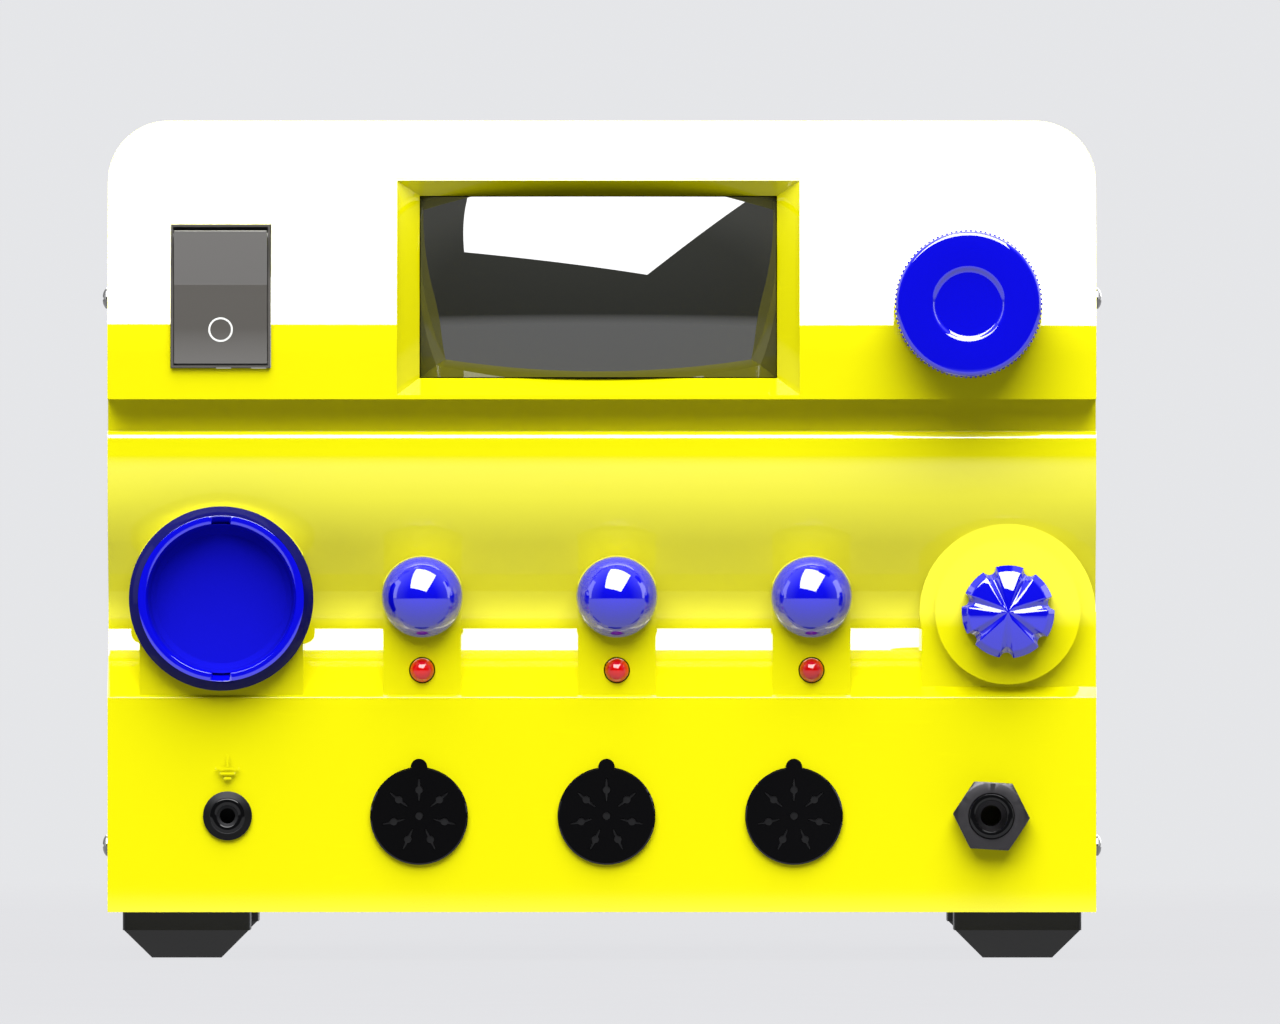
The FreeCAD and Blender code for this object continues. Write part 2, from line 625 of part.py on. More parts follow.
def build_display():
    """Bezel, crowned window, display module and its board."""
    mid_x = size.display_shift
    body = new_body("display_bezel", mid_x, FRONT)
    sketch = new_sketch(body, "YZ_Plane")
    outline(sketch, [
        (size.bezel_back, size.bezel_bottom),
        (-size.brow_proud, size.bezel_bottom),
        (-size.brow_proud, size.brow_start, -size.brow_radius),
        (size.brow_end_depth, size.brow_end),
        (size.bezel_top_depth, size.bezel_top),
        (size.bezel_back, size.bezel_top),
    ])
    pad(body, sketch, size.bezel_width, both=True)
    # the pit: an upright-walled well down to a leaning rim, then walls that slope in to the window
    rim, rim_width = size.brow_proud, size.bezel_width - 0.8
    sections = (
        (-rim, size.bezel_bottom + 0.3, size.bezel_top_depth + rim,
         size.bezel_top - size.bezel_bottom - 0.7, rim_width),
        (size.window_bottom_depth, size.window_bottom, size.window_top_depth - size.window_bottom_depth,
         size.window_top - size.window_bottom, size.window_width),
    )
    sketches = []
    for depth, bottom, run, rise, width in sections:
        sketch = new_sketch(body, "XZ_Plane", -depth)
        lean = math.degrees(math.atan(run.value / rise.value))
        sketch.AttachmentOffset = Placement(Vector(0, bottom.value, -as_length(depth).value),
                                            Rotation(Vector(1, 0, 0), -lean))
        bind(sketch, "AttachmentOffset.Base.y", bottom)
        sketch.setExpression("AttachmentOffset.Rotation.Angle", f"-atan({run.formula} / {rise.formula})")
        slope = slope_length(run, rise)
        outline(sketch, [(-width / 2, 0), (width / 2, 0), (width / 2, slope), (-width / 2, slope)])
        sketches.append(sketch)
    document.recompute()
    before = body.Shape.Volume
    loft = body.newObject("PartDesign::SubtractiveLoft", "display_bezel_slopes")
    loft.Profile = sketches[0]
    loft.Sections = [sketches[1]]
    loft.Ruled = True
    document.recompute()
    body.Tip = loft
    pocket(body, sketches[0], size.front_proud, backwards=True)
    sketch = new_sketch(body, "XZ_Plane", size.front_proud)
    rectangle(sketch, 0, (size.window_bottom + size.window_top) / 2, size.window_width,
              size.window_top - size.window_bottom)
    pocket(body, sketch, size.front_proud + size.bezel_back)
    if body.Shape.Volume > before * 0.9:
        raise ValueError("display_bezel: its pit is missing")

    body = new_body("display_window", mid_x, FRONT)
    sketch = new_sketch(body, "YZ_Plane")
    gap = size.seam
    outline(sketch, [
        (size.window_bottom_depth + gap, size.window_bottom + gap),
        (size.window_bottom_depth + size.window_wall, size.window_bottom + gap),
        (size.window_top_depth + size.window_wall, size.window_top - gap),
        (size.window_top_depth + gap, size.window_top - gap, size.window_radius),
    ])
    pad(body, sketch, size.window_width - gap * 2, both=True)

    body = new_body("display_module", mid_x, FRONT)
    sketch = new_sketch(body, "XZ_Plane", -(size.bezel_back + 0.1))
    rectangle(sketch, 0, (size.bezel_top + size.bezel_bottom) / 2, size.window_width + 6,
              size.window_top - size.window_bottom + 2)
    pad(body, sketch, 5, backwards=True)

    body = new_body("display_board", mid_x, FRONT)
    sketch = new_sketch(body, "XZ_Plane", -(size.bezel_back + 5.1))
    rectangle(sketch, 0, (size.bezel_top + size.bezel_bottom) / 2, size.bezel_width - 1,
              size.bezel_top - size.bezel_bottom)
    for side in (-1, 1):
        for row in (size.bezel_bottom + 3, size.bezel_top - 3):
            circle(sketch, (size.bezel_width / 2 - 3.5) * side, row, size.screw_radius)
    pad(body, sketch, size.board_thickness, backwards=True)


# ---------------------------------------------------------------- housing sheets and feet

def cover_outline(sketch, outer, inner):
    """U-shaped sheet section: sides and top with rounded corners, open below."""
    radius_out, radius_in = size.corner_radius, size.corner_radius - (outer - inner)
    top_in = size.body_top - (outer - inner)
    outline(sketch, [
        (outer, size.body_base), (outer, size.body_top - radius_out, radius_out),
        (outer - radius_out, size.body_top), (radius_out - outer, size.body_top, radius_out),
        (-outer, size.body_top - radius_out), (-outer, size.body_base), (-inner, size.body_base),
        (-inner, top_in - radius_in, -radius_in), (radius_in - inner, top_in),
        (inner - radius_in, top_in, -radius_in), (inner, top_in - radius_in), (inner, size.body_base),
    ])


def build_housing():
    """Cover, tray, bulkhead and back panel."""
    cover_long = size.body_depth - size.panel_depth
    body = new_body("top_cover", y=FRONT)
    sketch = new_sketch(body, "XZ_Plane", -size.panel_depth)
    cover_outline(sketch, HALF_WIDTH, INSIDE_HALF)
    pad(body, sketch, cover_long, backwards=True)
    # louvre slots through both sides
    sketch = new_sketch(body, "YZ_Plane")
    rectangle(sketch, size.panel_depth + cover_long * 0.62, size.body_top - 55, 3, 34)
    slot = pocket(body, sketch, size.body_width + 4, both=True)
    along(body, [slot], sketch, ("H_Axis", cover_long * 0.25, 6))
    # holes for the side screws, right through both sides
    sketch = new_sketch(body, "YZ_Plane")
    for depth in side_screw_depths():
        for height in (size.side_screw_low, size.side_screw_high):
            circle(sketch, depth, height, size.screw_radius + size.seam)
    pocket(body, sketch, size.body_width + 4, both=True)

    tray_half = INSIDE_HALF - size.seam
    tray_start, tray_end = size.panel_depth, size.body_depth - size.tray_wall - size.seam
    body = new_body("base_tray", y=FRONT)
    sketch = new_sketch(body, "XZ_Plane", -tray_start)
    lip = size.body_base + size.flange_width
    outline(sketch, [(-tray_half, size.body_base), (tray_half, size.body_base), (tray_half, lip),
                     (tray_half - size.tray_wall, lip), (tray_half - size.tray_wall, TRAY_FLOOR),
                     (size.tray_wall - tray_half, TRAY_FLOOR), (size.tray_wall - tray_half, lip),
                     (-tray_half, lip)])
    pad(body, sketch, tray_end - tray_start, backwards=True)
    sketch = new_sketch(body, "YZ_Plane")
    for depth in side_screw_depths():
        circle(sketch, depth, size.side_screw_low, size.screw_radius + size.seam)
    pocket(body, sketch, size.body_width, both=True)
    sketch = new_sketch(body, "XY_Plane", size.body_base + size.flange_width)
    for side in (-1, 1):
        for depth in foot_depths():
            circle(sketch, (HALF_WIDTH - size.foot_inset) * side, depth, size.screw_radius + 0.3)
    pocket(body, sketch, size.flange_width)

    # bulkhead behind the mouldings and back panel: sheets with flanges turned inside the cover
    sheet_half = tray_half - size.tray_wall - size.seam
    top = size.body_top - size.cover_wall - size.seam
    foot = TRAY_FLOOR + size.seam
    corner = size.corner_radius - size.cover_wall - size.seam
    for label, start, turn in (("front_bulkhead", size.panel_depth + size.seam, True),
                               ("rear_panel", size.body_depth, False)):
        body = new_body(label, y=FRONT)
        sketch = new_sketch(body, "XZ_Plane", -start)
        half = sheet_half if turn else INSIDE_HALF - size.seam
        base = foot if turn else size.body_base
        outline(sketch, [(-half, base), (half, base), (half, top - corner, corner),
                         (half - corner, top), (corner - half, top, corner), (-half, top - corner)])
        pad(body, sketch, size.tray_wall, backwards=turn)
        depth_of_flanges = start + size.tray_wall if turn else start - size.tray_wall
        sketch = new_sketch(body, "XZ_Plane", -depth_of_flanges)
        for side in (-1, 1):
            rectangle(sketch, (sheet_half - size.tray_wall / 2) * side,
                      (foot + top - corner) / 2, size.tray_wall, top - corner - foot)
        pad(body, sketch, size.flange_width, backwards=turn)
        if turn:
            build_bulkhead_opening(body, sheet_half, foot, top)
        else:
            build_back_openings(body)
        sketch = new_sketch(body, "YZ_Plane")
        depth = side_screw_depths()[0 if turn else 1]
        for height in (size.side_screw_low, size.side_screw_high):
            circle(sketch, depth, height, size.screw_radius)
        pocket(body, sketch, size.body_width, both=True)


def side_screw_depths():
    """Depths of the front and back rows of side screws, midway along the flanges."""
    return (size.panel_depth + size.tray_wall + size.flange_width / 2,
            size.body_depth - size.tray_wall - size.flange_width / 2)


def foot_depths():
    """Depths of the front and back feet."""
    return size.front_foot_depth, size.body_depth - size.rear_foot_margin


def build_bulkhead_opening(body, half, foot, top):
    """One large opening, so that the bulkhead is a frame round the controls."""
    sketch = new_sketch(body, "XZ_Plane")
    width = half * 2 - size.bulkhead_band * 2
    rectangle(sketch, 0, (foot + top) / 2, width, top - foot - size.bulkhead_band * 2)
    pocket(body, sketch, size.body_depth / 2)


fan_x = station_x(size.fan_inset, 1)
inlet_x = station_x(size.inlet_inset, -1)
fuse_x = inlet_x + size.inlet_width / 2 + 22
FAN_HOLE = size.fan_half - 5


def build_back_openings(body):
    """Cut-outs of the back panel: fan, fan screws, mains inlet, fuse and vent slots."""
    sketch = new_sketch(body, "XZ_Plane", -(size.body_depth - size.tray_wall * 2))
    circle(sketch, fan_x, size.fan_height, size.fan_rotor_radius + 1)
    for side in (-1, 1):
        for row in (-1, 1):
            circle(sketch, fan_x + FAN_HOLE * side, size.fan_height + FAN_HOLE * row, size.screw_radius + 0.3)
        circle(sketch, inlet_x + (size.inlet_width / 2 + 6) * side, size.inlet_height, size.screw_radius + 0.3)
    rectangle(sketch, inlet_x, size.inlet_height, size.inlet_width + size.seam * 2,
              size.inlet_tall + size.seam * 2)
    circle(sketch, fuse_x, size.inlet_height, size.fuse_radius + size.seam)
    pocket(body, sketch, size.tray_wall * 3)
    sketch = new_sketch(body, "XZ_Plane", -(size.body_depth - size.tray_wall * 2))
    rectangle(sketch, inlet_x - 22, size.fan_height, 3, 44)
    slot = pocket(body, sketch, size.tray_wall * 3)
    along(body, [slot], sketch, ("H_Axis", 56, 9))


def build_feet():
    """Four rubber feet with tapered ends, and the screws that hold them."""
    positions = ("H_Axis", (HALF_WIDTH - size.foot_inset) * 2, 2), (
        "V_Axis", foot_depths()[1] - foot_depths()[0], 2)
    left, front = size.foot_inset - HALF_WIDTH, foot_depths()[0]
    taper_tall = size.body_base - size.foot_skirt
    body = new_body("rubber_feet", left, FRONT + front)
    sketch = new_sketch(body, "XY_Plane", taper_tall)
    rectangle(sketch, 0, 0, size.foot_width, size.foot_width)
    skirt = pad(body, sketch, size.foot_skirt)
    round_edges(body, lambda edge: lies_along(edge, Vector(0, 0, 1), where=lambda at: True), 0.8)
    skirt = [skirt, body.Tip]
    sketch = new_sketch(body, "XY_Plane", taper_tall)
    rectangle(sketch, 0, 0, size.foot_width - 0.5, size.foot_width - 0.5)
    taper = pad(body, sketch, taper_tall, backwards=True, taper=-45.0)
    sketch = new_sketch(body, "XY_Plane")
    circle(sketch, 0, 0, size.screw_head_radius + 1.4)
    seat = pocket(body, sketch, taper_tall, backwards=True)
    sketch = new_sketch(body, "XY_Plane")
    circle(sketch, 0, 0, size.screw_radius + size.seam)
    hole = pocket(body, sketch, size.body_base + 1, backwards=True)
    along(body, [*skirt, taper, seat, hole], sketch, *positions)

    body = new_body("foot_screws", left, FRONT + front, taper_tall, facing="down")
    features, sketch = screw(body, size.screw_radius, size.foot_skirt + size.tray_wall + 3,
                             size.screw_head_radius + 0.8, size.screw_head_tall)
    along(body, features, sketch, positions[0],
          ("V_Axis", -positions[1][1], positions[1][2]))


def build_side_screws():
    """Screws that hold the cover: a grid of four on each side."""
    near, far = side_screw_depths()
    body = new_body("cover_screws", 0, FRONT + near, size.side_screw_low, "right")
    long = size.cover_wall + size.tray_wall * 2 + size.seam * 2 + 2
    features, sketch = screw(body, size.screw_radius - 0.02, long, size.screw_head_radius,
                             size.screw_head_tall, seat=HALF_WIDTH)
    rise = size.side_screw_high - size.side_screw_low
    along(body, features, sketch, ("H_Axis", -rise, 2), ("V_Axis", far - near, 2))
    mirrored(body)


# ---------------------------------------------------------------- controls on the front

def build_mains_switch():
    """Switch frame and the rocker that tips in it; the lower end is in, which is off."""
    depth = FRONT - size.rocker_proud
    body = new_body("rocker_housing", rocker_x, depth, size.rocker_height, "front")
    sketch = new_sketch(body, "XY_Plane", 0)
    rectangle(sketch, 0, 0, size.rocker_width, size.rocker_tall)
    pad(body, sketch, size.rocker_proud + 8, backwards=True)
    sketch = new_sketch(body, "XY_Plane", 0)
    rectangle(sketch, 0, 0, size.rocker_width - 0.6, size.rocker_tall - 0.6)
    pad(body, sketch, 24, backwards=True)
    sketch = new_sketch(body, "XY_Plane", 0)
    rectangle(sketch, 0, 0, size.rocker_width - size.rocker_rim * 2, size.rocker_tall - size.rocker_rim * 2)
    pocket(body, sketch, 14)
    sketch = new_sketch(body, "XY_Plane", -24)
    for row in (-8, 0, 8):
        rectangle(sketch, 0, row, 6.3, 0.8)
    pad(body, sketch, 9, backwards=True)

    body = new_body("rocker_button", rocker_x, depth, size.rocker_height, "front")
    half = size.rocker_tall / 2 - size.rocker_rim - size.rocker_gap * 2
    sketch = new_sketch(body, "YZ_Plane")
    # drawn in (up, out): the lower face lies flush, the upper face runs out to its raised end
    outline(sketch, [(-half, -0.2), (2.3, -0.2), (half - 0.4, 2.6), (half - 1.6, -3),
                     (5, -9), (-5, -9), (-half + 0.6, -5)])
    pad(body, sketch, size.rocker_width - (size.rocker_rim + size.rocker_gap) * 2, both=True)


def build_dial():
    """Adjustment dial on its encoder."""
    seat = FRONT - size.brow_proud
    back = size.dial_gap
    front = size.front_proud - size.brow_proud
    rim = size.dial_radius
    body = new_body("adjust_dial", dial_x, seat, size.dial_height, "front")
    bore = size.spindle_radius
    turned(body, [(bore, back), (rim, back), (rim, front - 1.6), (rim - 1.6, front),
                  (size.dial_dimple, front), (size.dial_dimple - 0.5, front - 0.6), (0, front - 0.6),
                  (0, front - 3), (bore, front - 3)])
    body = new_body("encoder_spindle", dial_x, seat, size.dial_height, "front")
    turned(body, [(0, -10), (bore, -10), (bore, front - 3), (0, front - 3)])
    body = new_body("encoder_body", dial_x, seat, size.dial_height, "front")
    hole = bore + size.running_gap
    turned(body, [(hole, -12), (bore + 1.4, -12), (bore + 1.4, 0.4), (hole, 0.4)])
    sketch = new_sketch(body, "XY_Plane", -7.6)
    rectangle(sketch, 0, 0, 12.4, 12.4)
    pad(body, sketch, 6.5, backwards=True)
    sketch = new_sketch(body, "XY_Plane", -7.6)
    circle(sketch, 0, 0, hole)
    pocket(body, sketch, 4)


def build_buttons():
    """Three domed channel buttons, their switches, board and lamps."""
    face = FRONT + size.boss_depth
    lift = size.button_stroke + 0.4
    boss = size.boss_back - size.boss_depth
    for number, x in enumerate(button_xs, start=1):
        body = new_body(f"channel_button_{number}", x, face, size.button_height, "front")
        dome = size.button_radius
        stem, collar = size.stem_radius, size.stem_radius + 1.3
        turned(body, [(0, -boss - 3), (2, -boss - 3), (2, -boss - 1.7), (collar, -boss - 1.7),
                      (collar, -boss - 0.4), (stem, -boss - 0.4), (stem, lift),
                      (dome - 0.5, lift), (dome, lift + 0.5, dome), (0, lift + 0.5 + dome)])

    board_y = FRONT + size.switch_board_depth
    body = new_body("button_board", size.button_shift, FRONT)
    sketch = new_sketch(body, "XZ_Plane", -size.switch_board_depth)
    rectangle(sketch, 0, (size.button_height + size.lamp_height) / 2, size.button_pitch * 2 + 24, 30)
    pad(body, sketch, size.board_thickness, backwards=True)

    body = new_body("tact_switches", button_xs[0], board_y, size.button_height, "front")
    sketch = new_sketch(body)
    rectangle(sketch, 0, 0, 6, 6)
    block = pad(body, sketch, 2.2)
    sketch = new_sketch(body)
    circle(sketch, 0, 0, 1.7)
    plunger = pad(body, sketch, size.switch_board_depth - size.boss_back - 3 - size.button_stroke - 0.15)
    along(body, [block, plunger], sketch, ("H_Axis", size.button_pitch * 2, 3))

    body = new_body("channel_lamps", button_xs[0], face, size.lamp_height, "front")
    radius = size.lamp_radius
    lens = turned(body, [(0, -8), (radius, -8), (radius, 0.2, radius), (0, 0.2 + radius)])
    sketch = new_sketch(body, "XY_Plane", -7.5)
    for side in (-1.27, 1.27):
        circle(sketch, side, 0, 0.3)
    leads = pad(body, sketch, size.switch_board_depth - size.boss_depth - 7.5, backwards=True)
    along(body, [lens, leads], sketch, ("H_Axis", size.button_pitch * 2, 3))


def build_filter():
    """Vacuum filter: dished cap with a quarter turn, glass case, element and seal."""
    face = FRONT + size.boss_depth
    proud = size.filter_cap_proud + size.boss_depth
    radius, ring, dish = size.filter_cap_radius, size.filter_ring_radius, size.filter_dish_radius
    bore = size.filter_case_radius - 1.6
    floor = proud - size.filter_dish_deep
    body = new_body("filter_cap", filter_x, face, size.filter_height, "front")
    spigot = bore - size.running_gap
    turned(body, [(0, -5), (spigot - 1.6, -5), (spigot - 1.6, -3.4), (spigot, -3.4), (spigot, 0.3),
                  (radius, 0.3), (radius, proud - 3), (ring, proud), (dish, proud), (dish - 0.8, floor + 1.2),
                  (dish - 2, floor), (0, floor)])
    sketch = new_sketch(body, "XY_Plane", proud)
    for side in (-1, 1):
        rectangle(sketch, 0, (dish - 0.1) * side, 3.2, 1.8)
    pocket(body, sketch, 1.6)

    long = size.filter_case_length
    case = size.filter_case_radius
    body = new_body("filter_case", filter_x, face, size.filter_height, "front")
    turned(body, [(bore, 0), (case, 0), (case, -long), (4, -long), (2.5, -long - 1), (2.5, -long - 10),
                  (1.2, -long - 10), (1.2, 1.6 - long), (bore, 1.6 - long)])
    body = new_body("filter_element", filter_x, face, size.filter_height, "front")
    turned(body, [(0, -16), (bore - 0.3, -16), (bore - 0.3, -long + 14), (0, -long + 14)])
    body = new_body("filter_seal", filter_x, face, size.filter_height, "front")
    turned(body, [(bore - 1.4, -5.4), (bore - 1.4, -7.4), (bore, -7.4), (bore, -5.4)])


def build_air_valve():
    """Air-flow valve: lobed knob with its spindle, and the valve body behind the panel."""
    face = FRONT + size.valve_face_depth
    gap = 0.6
    body = new_body("air_valve_knob", valve_x, face, size.valve_height, "front")
    sketch = new_sketch(body, "XY_Plane", gap)
    circle(sketch, 0, 0, size.valve_knob_radius)
    pad(body, sketch, size.valve_knob_tall - gap)
    sketch = new_sketch(body, "XY_Plane", size.valve_knob_tall)
    circle(sketch, 0, -size.valve_knob_radius - 0.2, 1.3)
    notch = pocket(body, sketch, size.valve_knob_tall - gap)
    around(body, [notch], 7, sketch)
    sketch = new_sketch(body, "XY_Plane", gap)
    circle(sketch, 0, 0, size.spindle_radius)
    pad(body, sketch, 24, backwards=True)

    body = new_body("air_valve_body", valve_x, face, size.valve_height, "front")
    hole = size.spindle_radius + size.running_gap
    nose = VALVE_NOSE
    long = 46
    wide = nose + 3
    behind = size.boss_back - size.valve_face_depth
    turned(body, [(hole, 0), (nose, 0), (nose, -behind), (wide, -behind), (wide, 4 - long),
                  (3, 4 - long), (3, -long), (0, -long), (0, -28), (hole, -28)])


def build_sockets():
    """Three round handpiece sockets with eight contacts each, and their nuts."""
    barrel, long = size.socket_barrel, size.socket_length
    for number, x in enumerate(socket_xs, start=1):
        body = new_body(f"handpiece_socket_{number}", x, FRONT, size.socket_height, "front")
        flange = size.socket_flange
        turned(body, [(0, -long), (barrel, -long), (barrel, 0), (size.socket_radius, 0),
                      (size.socket_radius, flange - 0.3), (size.socket_radius - 0.3, flange), (0, flange)])
        sketch = new_sketch(body)
        circle(sketch, 0, size.socket_radius, 1.6)
        pad(body, sketch, flange)
        sketch = new_sketch(body, "XY_Plane", flange)
        circle(sketch, 0, size.contact_circle, size.contact_radius)
        hole = pocket(body, sketch, 9)
        slit_sketch = new_sketch(body, "XY_Plane", flange)
        rectangle(slit_sketch, 0, size.contact_circle, 0.44, 4.4)
        slit = pocket(body, slit_sketch, 1.2)
        around(body, [hole, slit], 7, sketch)
        sketch = new_sketch(body, "XY_Plane", flange)
        circle(sketch, 0, 0, size.contact_radius)
        pocket(body, sketch, 9)

    body = new_body("socket_contacts", 0, FRONT, size.socket_height, "front")
    sketch = new_sketch(body, "XY_Plane", size.socket_flange - 0.35)
    for x in socket_xs:
        circle(sketch, x, 0, size.contact_radius - 0.05)
        for number in range(7):
            turn = math.radians(90) + math.tau * number / 7
            circle(sketch, x + size.contact_circle * math.cos(turn), size.contact_circle * math.sin(turn),
                   size.contact_radius - 0.05)
    pad(body, sketch, 8.5, backwards=True)


def build_ground_jack():
    """Grounding jack with its blind bore."""
    thread = JACK_THREAD
    body = new_body("ground_jack", jack_x, FRONT, size.socket_height, "front")
    turned(body, [(0, -12), (thread, -12), (thread, 0), (size.jack_radius, 0), (size.jack_radius, 0.8),
                  (3.5, 1.4), (size.jack_bore, 1.0), (size.jack_bore, -9), (0, -9)])


def build_air_outlet():
    """Push-in hose outlet: hexagon body, sliding release ring and nut."""
    hexagon_tall = size.outlet_hex_tall
    ring, tube = size.collet_radius, size.tube_radius
    body = new_body("air_outlet_fitting", outlet_x, FRONT, size.socket_height, "front")
    sketch = new_sketch(body)
    hexagon(sketch, 0, 0, size.outlet_across_flats)
    pad(body, sketch, hexagon_tall)
    sketch = new_sketch(body)
    circle(sketch, 0, 0, OUTLET_THREAD)
    pad(body, sketch, 18, backwards=True)
    sketch = new_sketch(body, "XY_Plane", hexagon_tall)
    circle(sketch, 0, 0, ring + size.running_gap)
    pocket(body, sketch, 9)
    sketch = new_sketch(body, "XY_Plane", hexagon_tall)
    circle(sketch, 0, 0, tube + 0.05)
    pocket(body, sketch, 17)
    sketch = new_sketch(body, "XY_Plane", hexagon_tall)
    circle(sketch, 0, 0, 1.6)
    pocket(body, sketch, 30)
    body = new_body("outlet_release_ring", outlet_x, FRONT, size.socket_height, "front")
    turned(body, [(tube + 0.1, hexagon_tall - 7.5), (ring, hexagon_tall - 7.5), (ring, hexagon_tall + 0.9),
                  (tube + 0.1, hexagon_tall + 0.9)])


def build_panel_nuts():
    """Nuts behind the lower panel: three sockets, the ground jack and the air outlet."""
    body = new_body("panel_nuts", 0, FRONT, size.socket_height, "front")
    threads = [(x, size.socket_barrel) for x in socket_xs]
    threads += [(jack_x, JACK_THREAD), (outlet_x, OUTLET_THREAD)]
    sketch = new_sketch(body, "XY_Plane", -size.panel_wall)
    for x, thread in threads:
        hexagon(sketch, x, 0, thread * 2 + 4)
        circle(sketch, x, 0, thread + 0.05)
    pad(body, sketch, 2.5, backwards=True)


# ---------------------------------------------------------------- back panel pieces

def build_fan():
    """Cooling fan inside the back panel, its wire guard outside, and its screws."""
    inside = BACK - size.tray_wall
    body = new_body("fan_frame", fan_x, inside, size.fan_height, "back")
    sketch = new_sketch(body)
    rectangle(sketch, 0, 0, size.fan_half * 2, size.fan_half * 2)
    circle(sketch, 0, 0, size.fan_rotor_radius + 1)
    pad(body, sketch, size.fan_thickness, backwards=True)
    sketch = new_sketch(body, "XY_Plane", 1)
    for side in (-1, 1):
        for row in (-1, 1):
            circle(sketch, FAN_HOLE * side, FAN_HOLE * row, size.screw_radius + 0.3)
    pocket(body, sketch, size.fan_thickness + 2)
    sketch = new_sketch(body, "XY_Plane", -size.fan_thickness)
    rectangle(sketch, 0, 0, size.fan_rotor_radius * 2 + 4, 3)
    spoke = pad(body, sketch, 2)
    around(body, [spoke], 4, sketch)
    sketch = new_sketch(body, "XY_Plane", -size.fan_thickness)
    circle(sketch, 0, 0, 11)
    pad(body, sketch, 2)

    body = new_body("fan_rotor", fan_x, inside, size.fan_height, "back")
    sketch = new_sketch(body, "XY_Plane", -size.fan_thickness + 3)
    circle(sketch, 0, 0, 10.5)
    pad(body, sketch, size.fan_thickness - 4.5)
    sketch = new_sketch(body, "XY_Plane", -size.fan_thickness + 4)
    outline(sketch, [(9, -3), (size.fan_rotor_radius - 0.4, -5.5), (size.fan_rotor_radius - 0.2, 3, 60.0),
                     (9, 3.5)])
    blade = pad(body, sketch, size.fan_thickness - 6.5)
    around(body, [blade], 7, sketch)

    body = new_body("fan_guard", fan_x, BACK, size.fan_height, "back")
    wire = 1.1
    for radius in (8, 16, 24):
        turned(body, [(radius - wire, 1.2), (radius + wire, 1.2), (radius + wire, 1.2 + wire * 2),
                      (radius - wire, 1.2 + wire * 2)])
    sketch = new_sketch(body, "XY_Plane", 0.2)
    reach, half = FAN_HOLE + 2, 0.85
    outline(sketch, [(half, -half), (reach + half, reach - half), (reach - half, reach + half), (-half, half)])
    arm = pad(body, sketch, 1.6)
    around(body, [arm], 4, sketch)
    for radius, shape in ((size.screw_head_radius + 0.8, pad), (size.screw_radius + 0.3, pocket)):
        eyes = new_sketch(body, "XY_Plane", 0.2 if shape is pad else 1.8)
        for side in (-1, 1):
            for row in (-1, 1):
                circle(eyes, FAN_HOLE * side, FAN_HOLE * row, radius)
        shape(body, eyes, 1.6)

    body = new_body("fan_screws", fan_x - FAN_HOLE, BACK + 1.8, size.fan_height - FAN_HOLE, "back")
    features, sketch = screw(body, size.screw_radius + 0.2, size.fan_thickness, size.screw_head_radius + 0.6,
                             size.screw_head_tall)
    along(body, features, sketch, ("H_Axis", -FAN_HOLE * 2, 2), ("V_Axis", FAN_HOLE * 2, 2))


def build_inlet():
    """Mains inlet with its three pins, its screws, and the fuse holder beside it."""
    wide, tall, cavity = size.inlet_width, size.inlet_tall, size.inlet_cavity
    body = new_body("mains_inlet", inlet_x, BACK, size.inlet_height, "back")
    sketch = new_sketch(body)
    rectangle(sketch, 0, 0, wide + 22, tall + 4)
    pad(body, sketch, 2.4)
    sketch = new_sketch(body)
    rectangle(sketch, 0, 0, wide, tall)
    pad(body, sketch, cavity + 4, backwards=True)
    sketch = new_sketch(body, "XY_Plane", 2.4)
    half_wide, half_tall, cut = wide / 2 - 1.7, tall / 2 - 2, 4.5
    outline(sketch, [(-half_wide, -half_tall), (half_wide, -half_tall), (half_wide, half_tall - cut),
                     (half_wide - cut, half_tall), (cut - half_wide, half_tall),
                     (-half_wide, half_tall - cut)])
    pocket(body, sketch, cavity)
    sketch = new_sketch(body, "XY_Plane", 2.4)
    for side in (-1, 1):
        circle(sketch, (wide / 2 + 6) * side, 0, size.screw_radius + 0.3)
    pocket(body, sketch, 2.4)

    body = new_body("inlet_pins", inlet_x, BACK, size.inlet_height, "back")
    sketch = new_sketch(body, "XY_Plane", 2.4 - cavity)
    for x, z in ((-7, -1.5), (7, -1.5), (0, 2)):
        rectangle(sketch, x, z, 2, 4)
    pad(body, sketch, cavity - 3)

    body = new_body("inlet_screws", inlet_x - wide / 2 - 6, BACK + 2.4, size.inlet_height, "back")
    features, sketch = screw(body, size.screw_radius + 0.2, 8, size.screw_head_radius + 0.6,
                             size.screw_head_tall)
    along(body, features, sketch, ("H_Axis", -wide - 12, 2))

    body = new_body("fuse_holder", fuse_x, BACK, size.inlet_height, "back")
    barrel = size.fuse_radius
    cap = size.rear_proud
    turned(body, [(0, -28), (barrel, -28), (barrel, 0), (barrel + 1.8, 0), (barrel + 1.8, 2), (barrel, cap),
                  (0, cap)])
    sketch = new_sketch(body, "XY_Plane", cap)
    rectangle(sketch, 0, 0, barrel * 1.4, 1.2)
    pocket(body, sketch, 1)


# ---------------------------------------------------------------- inside the station

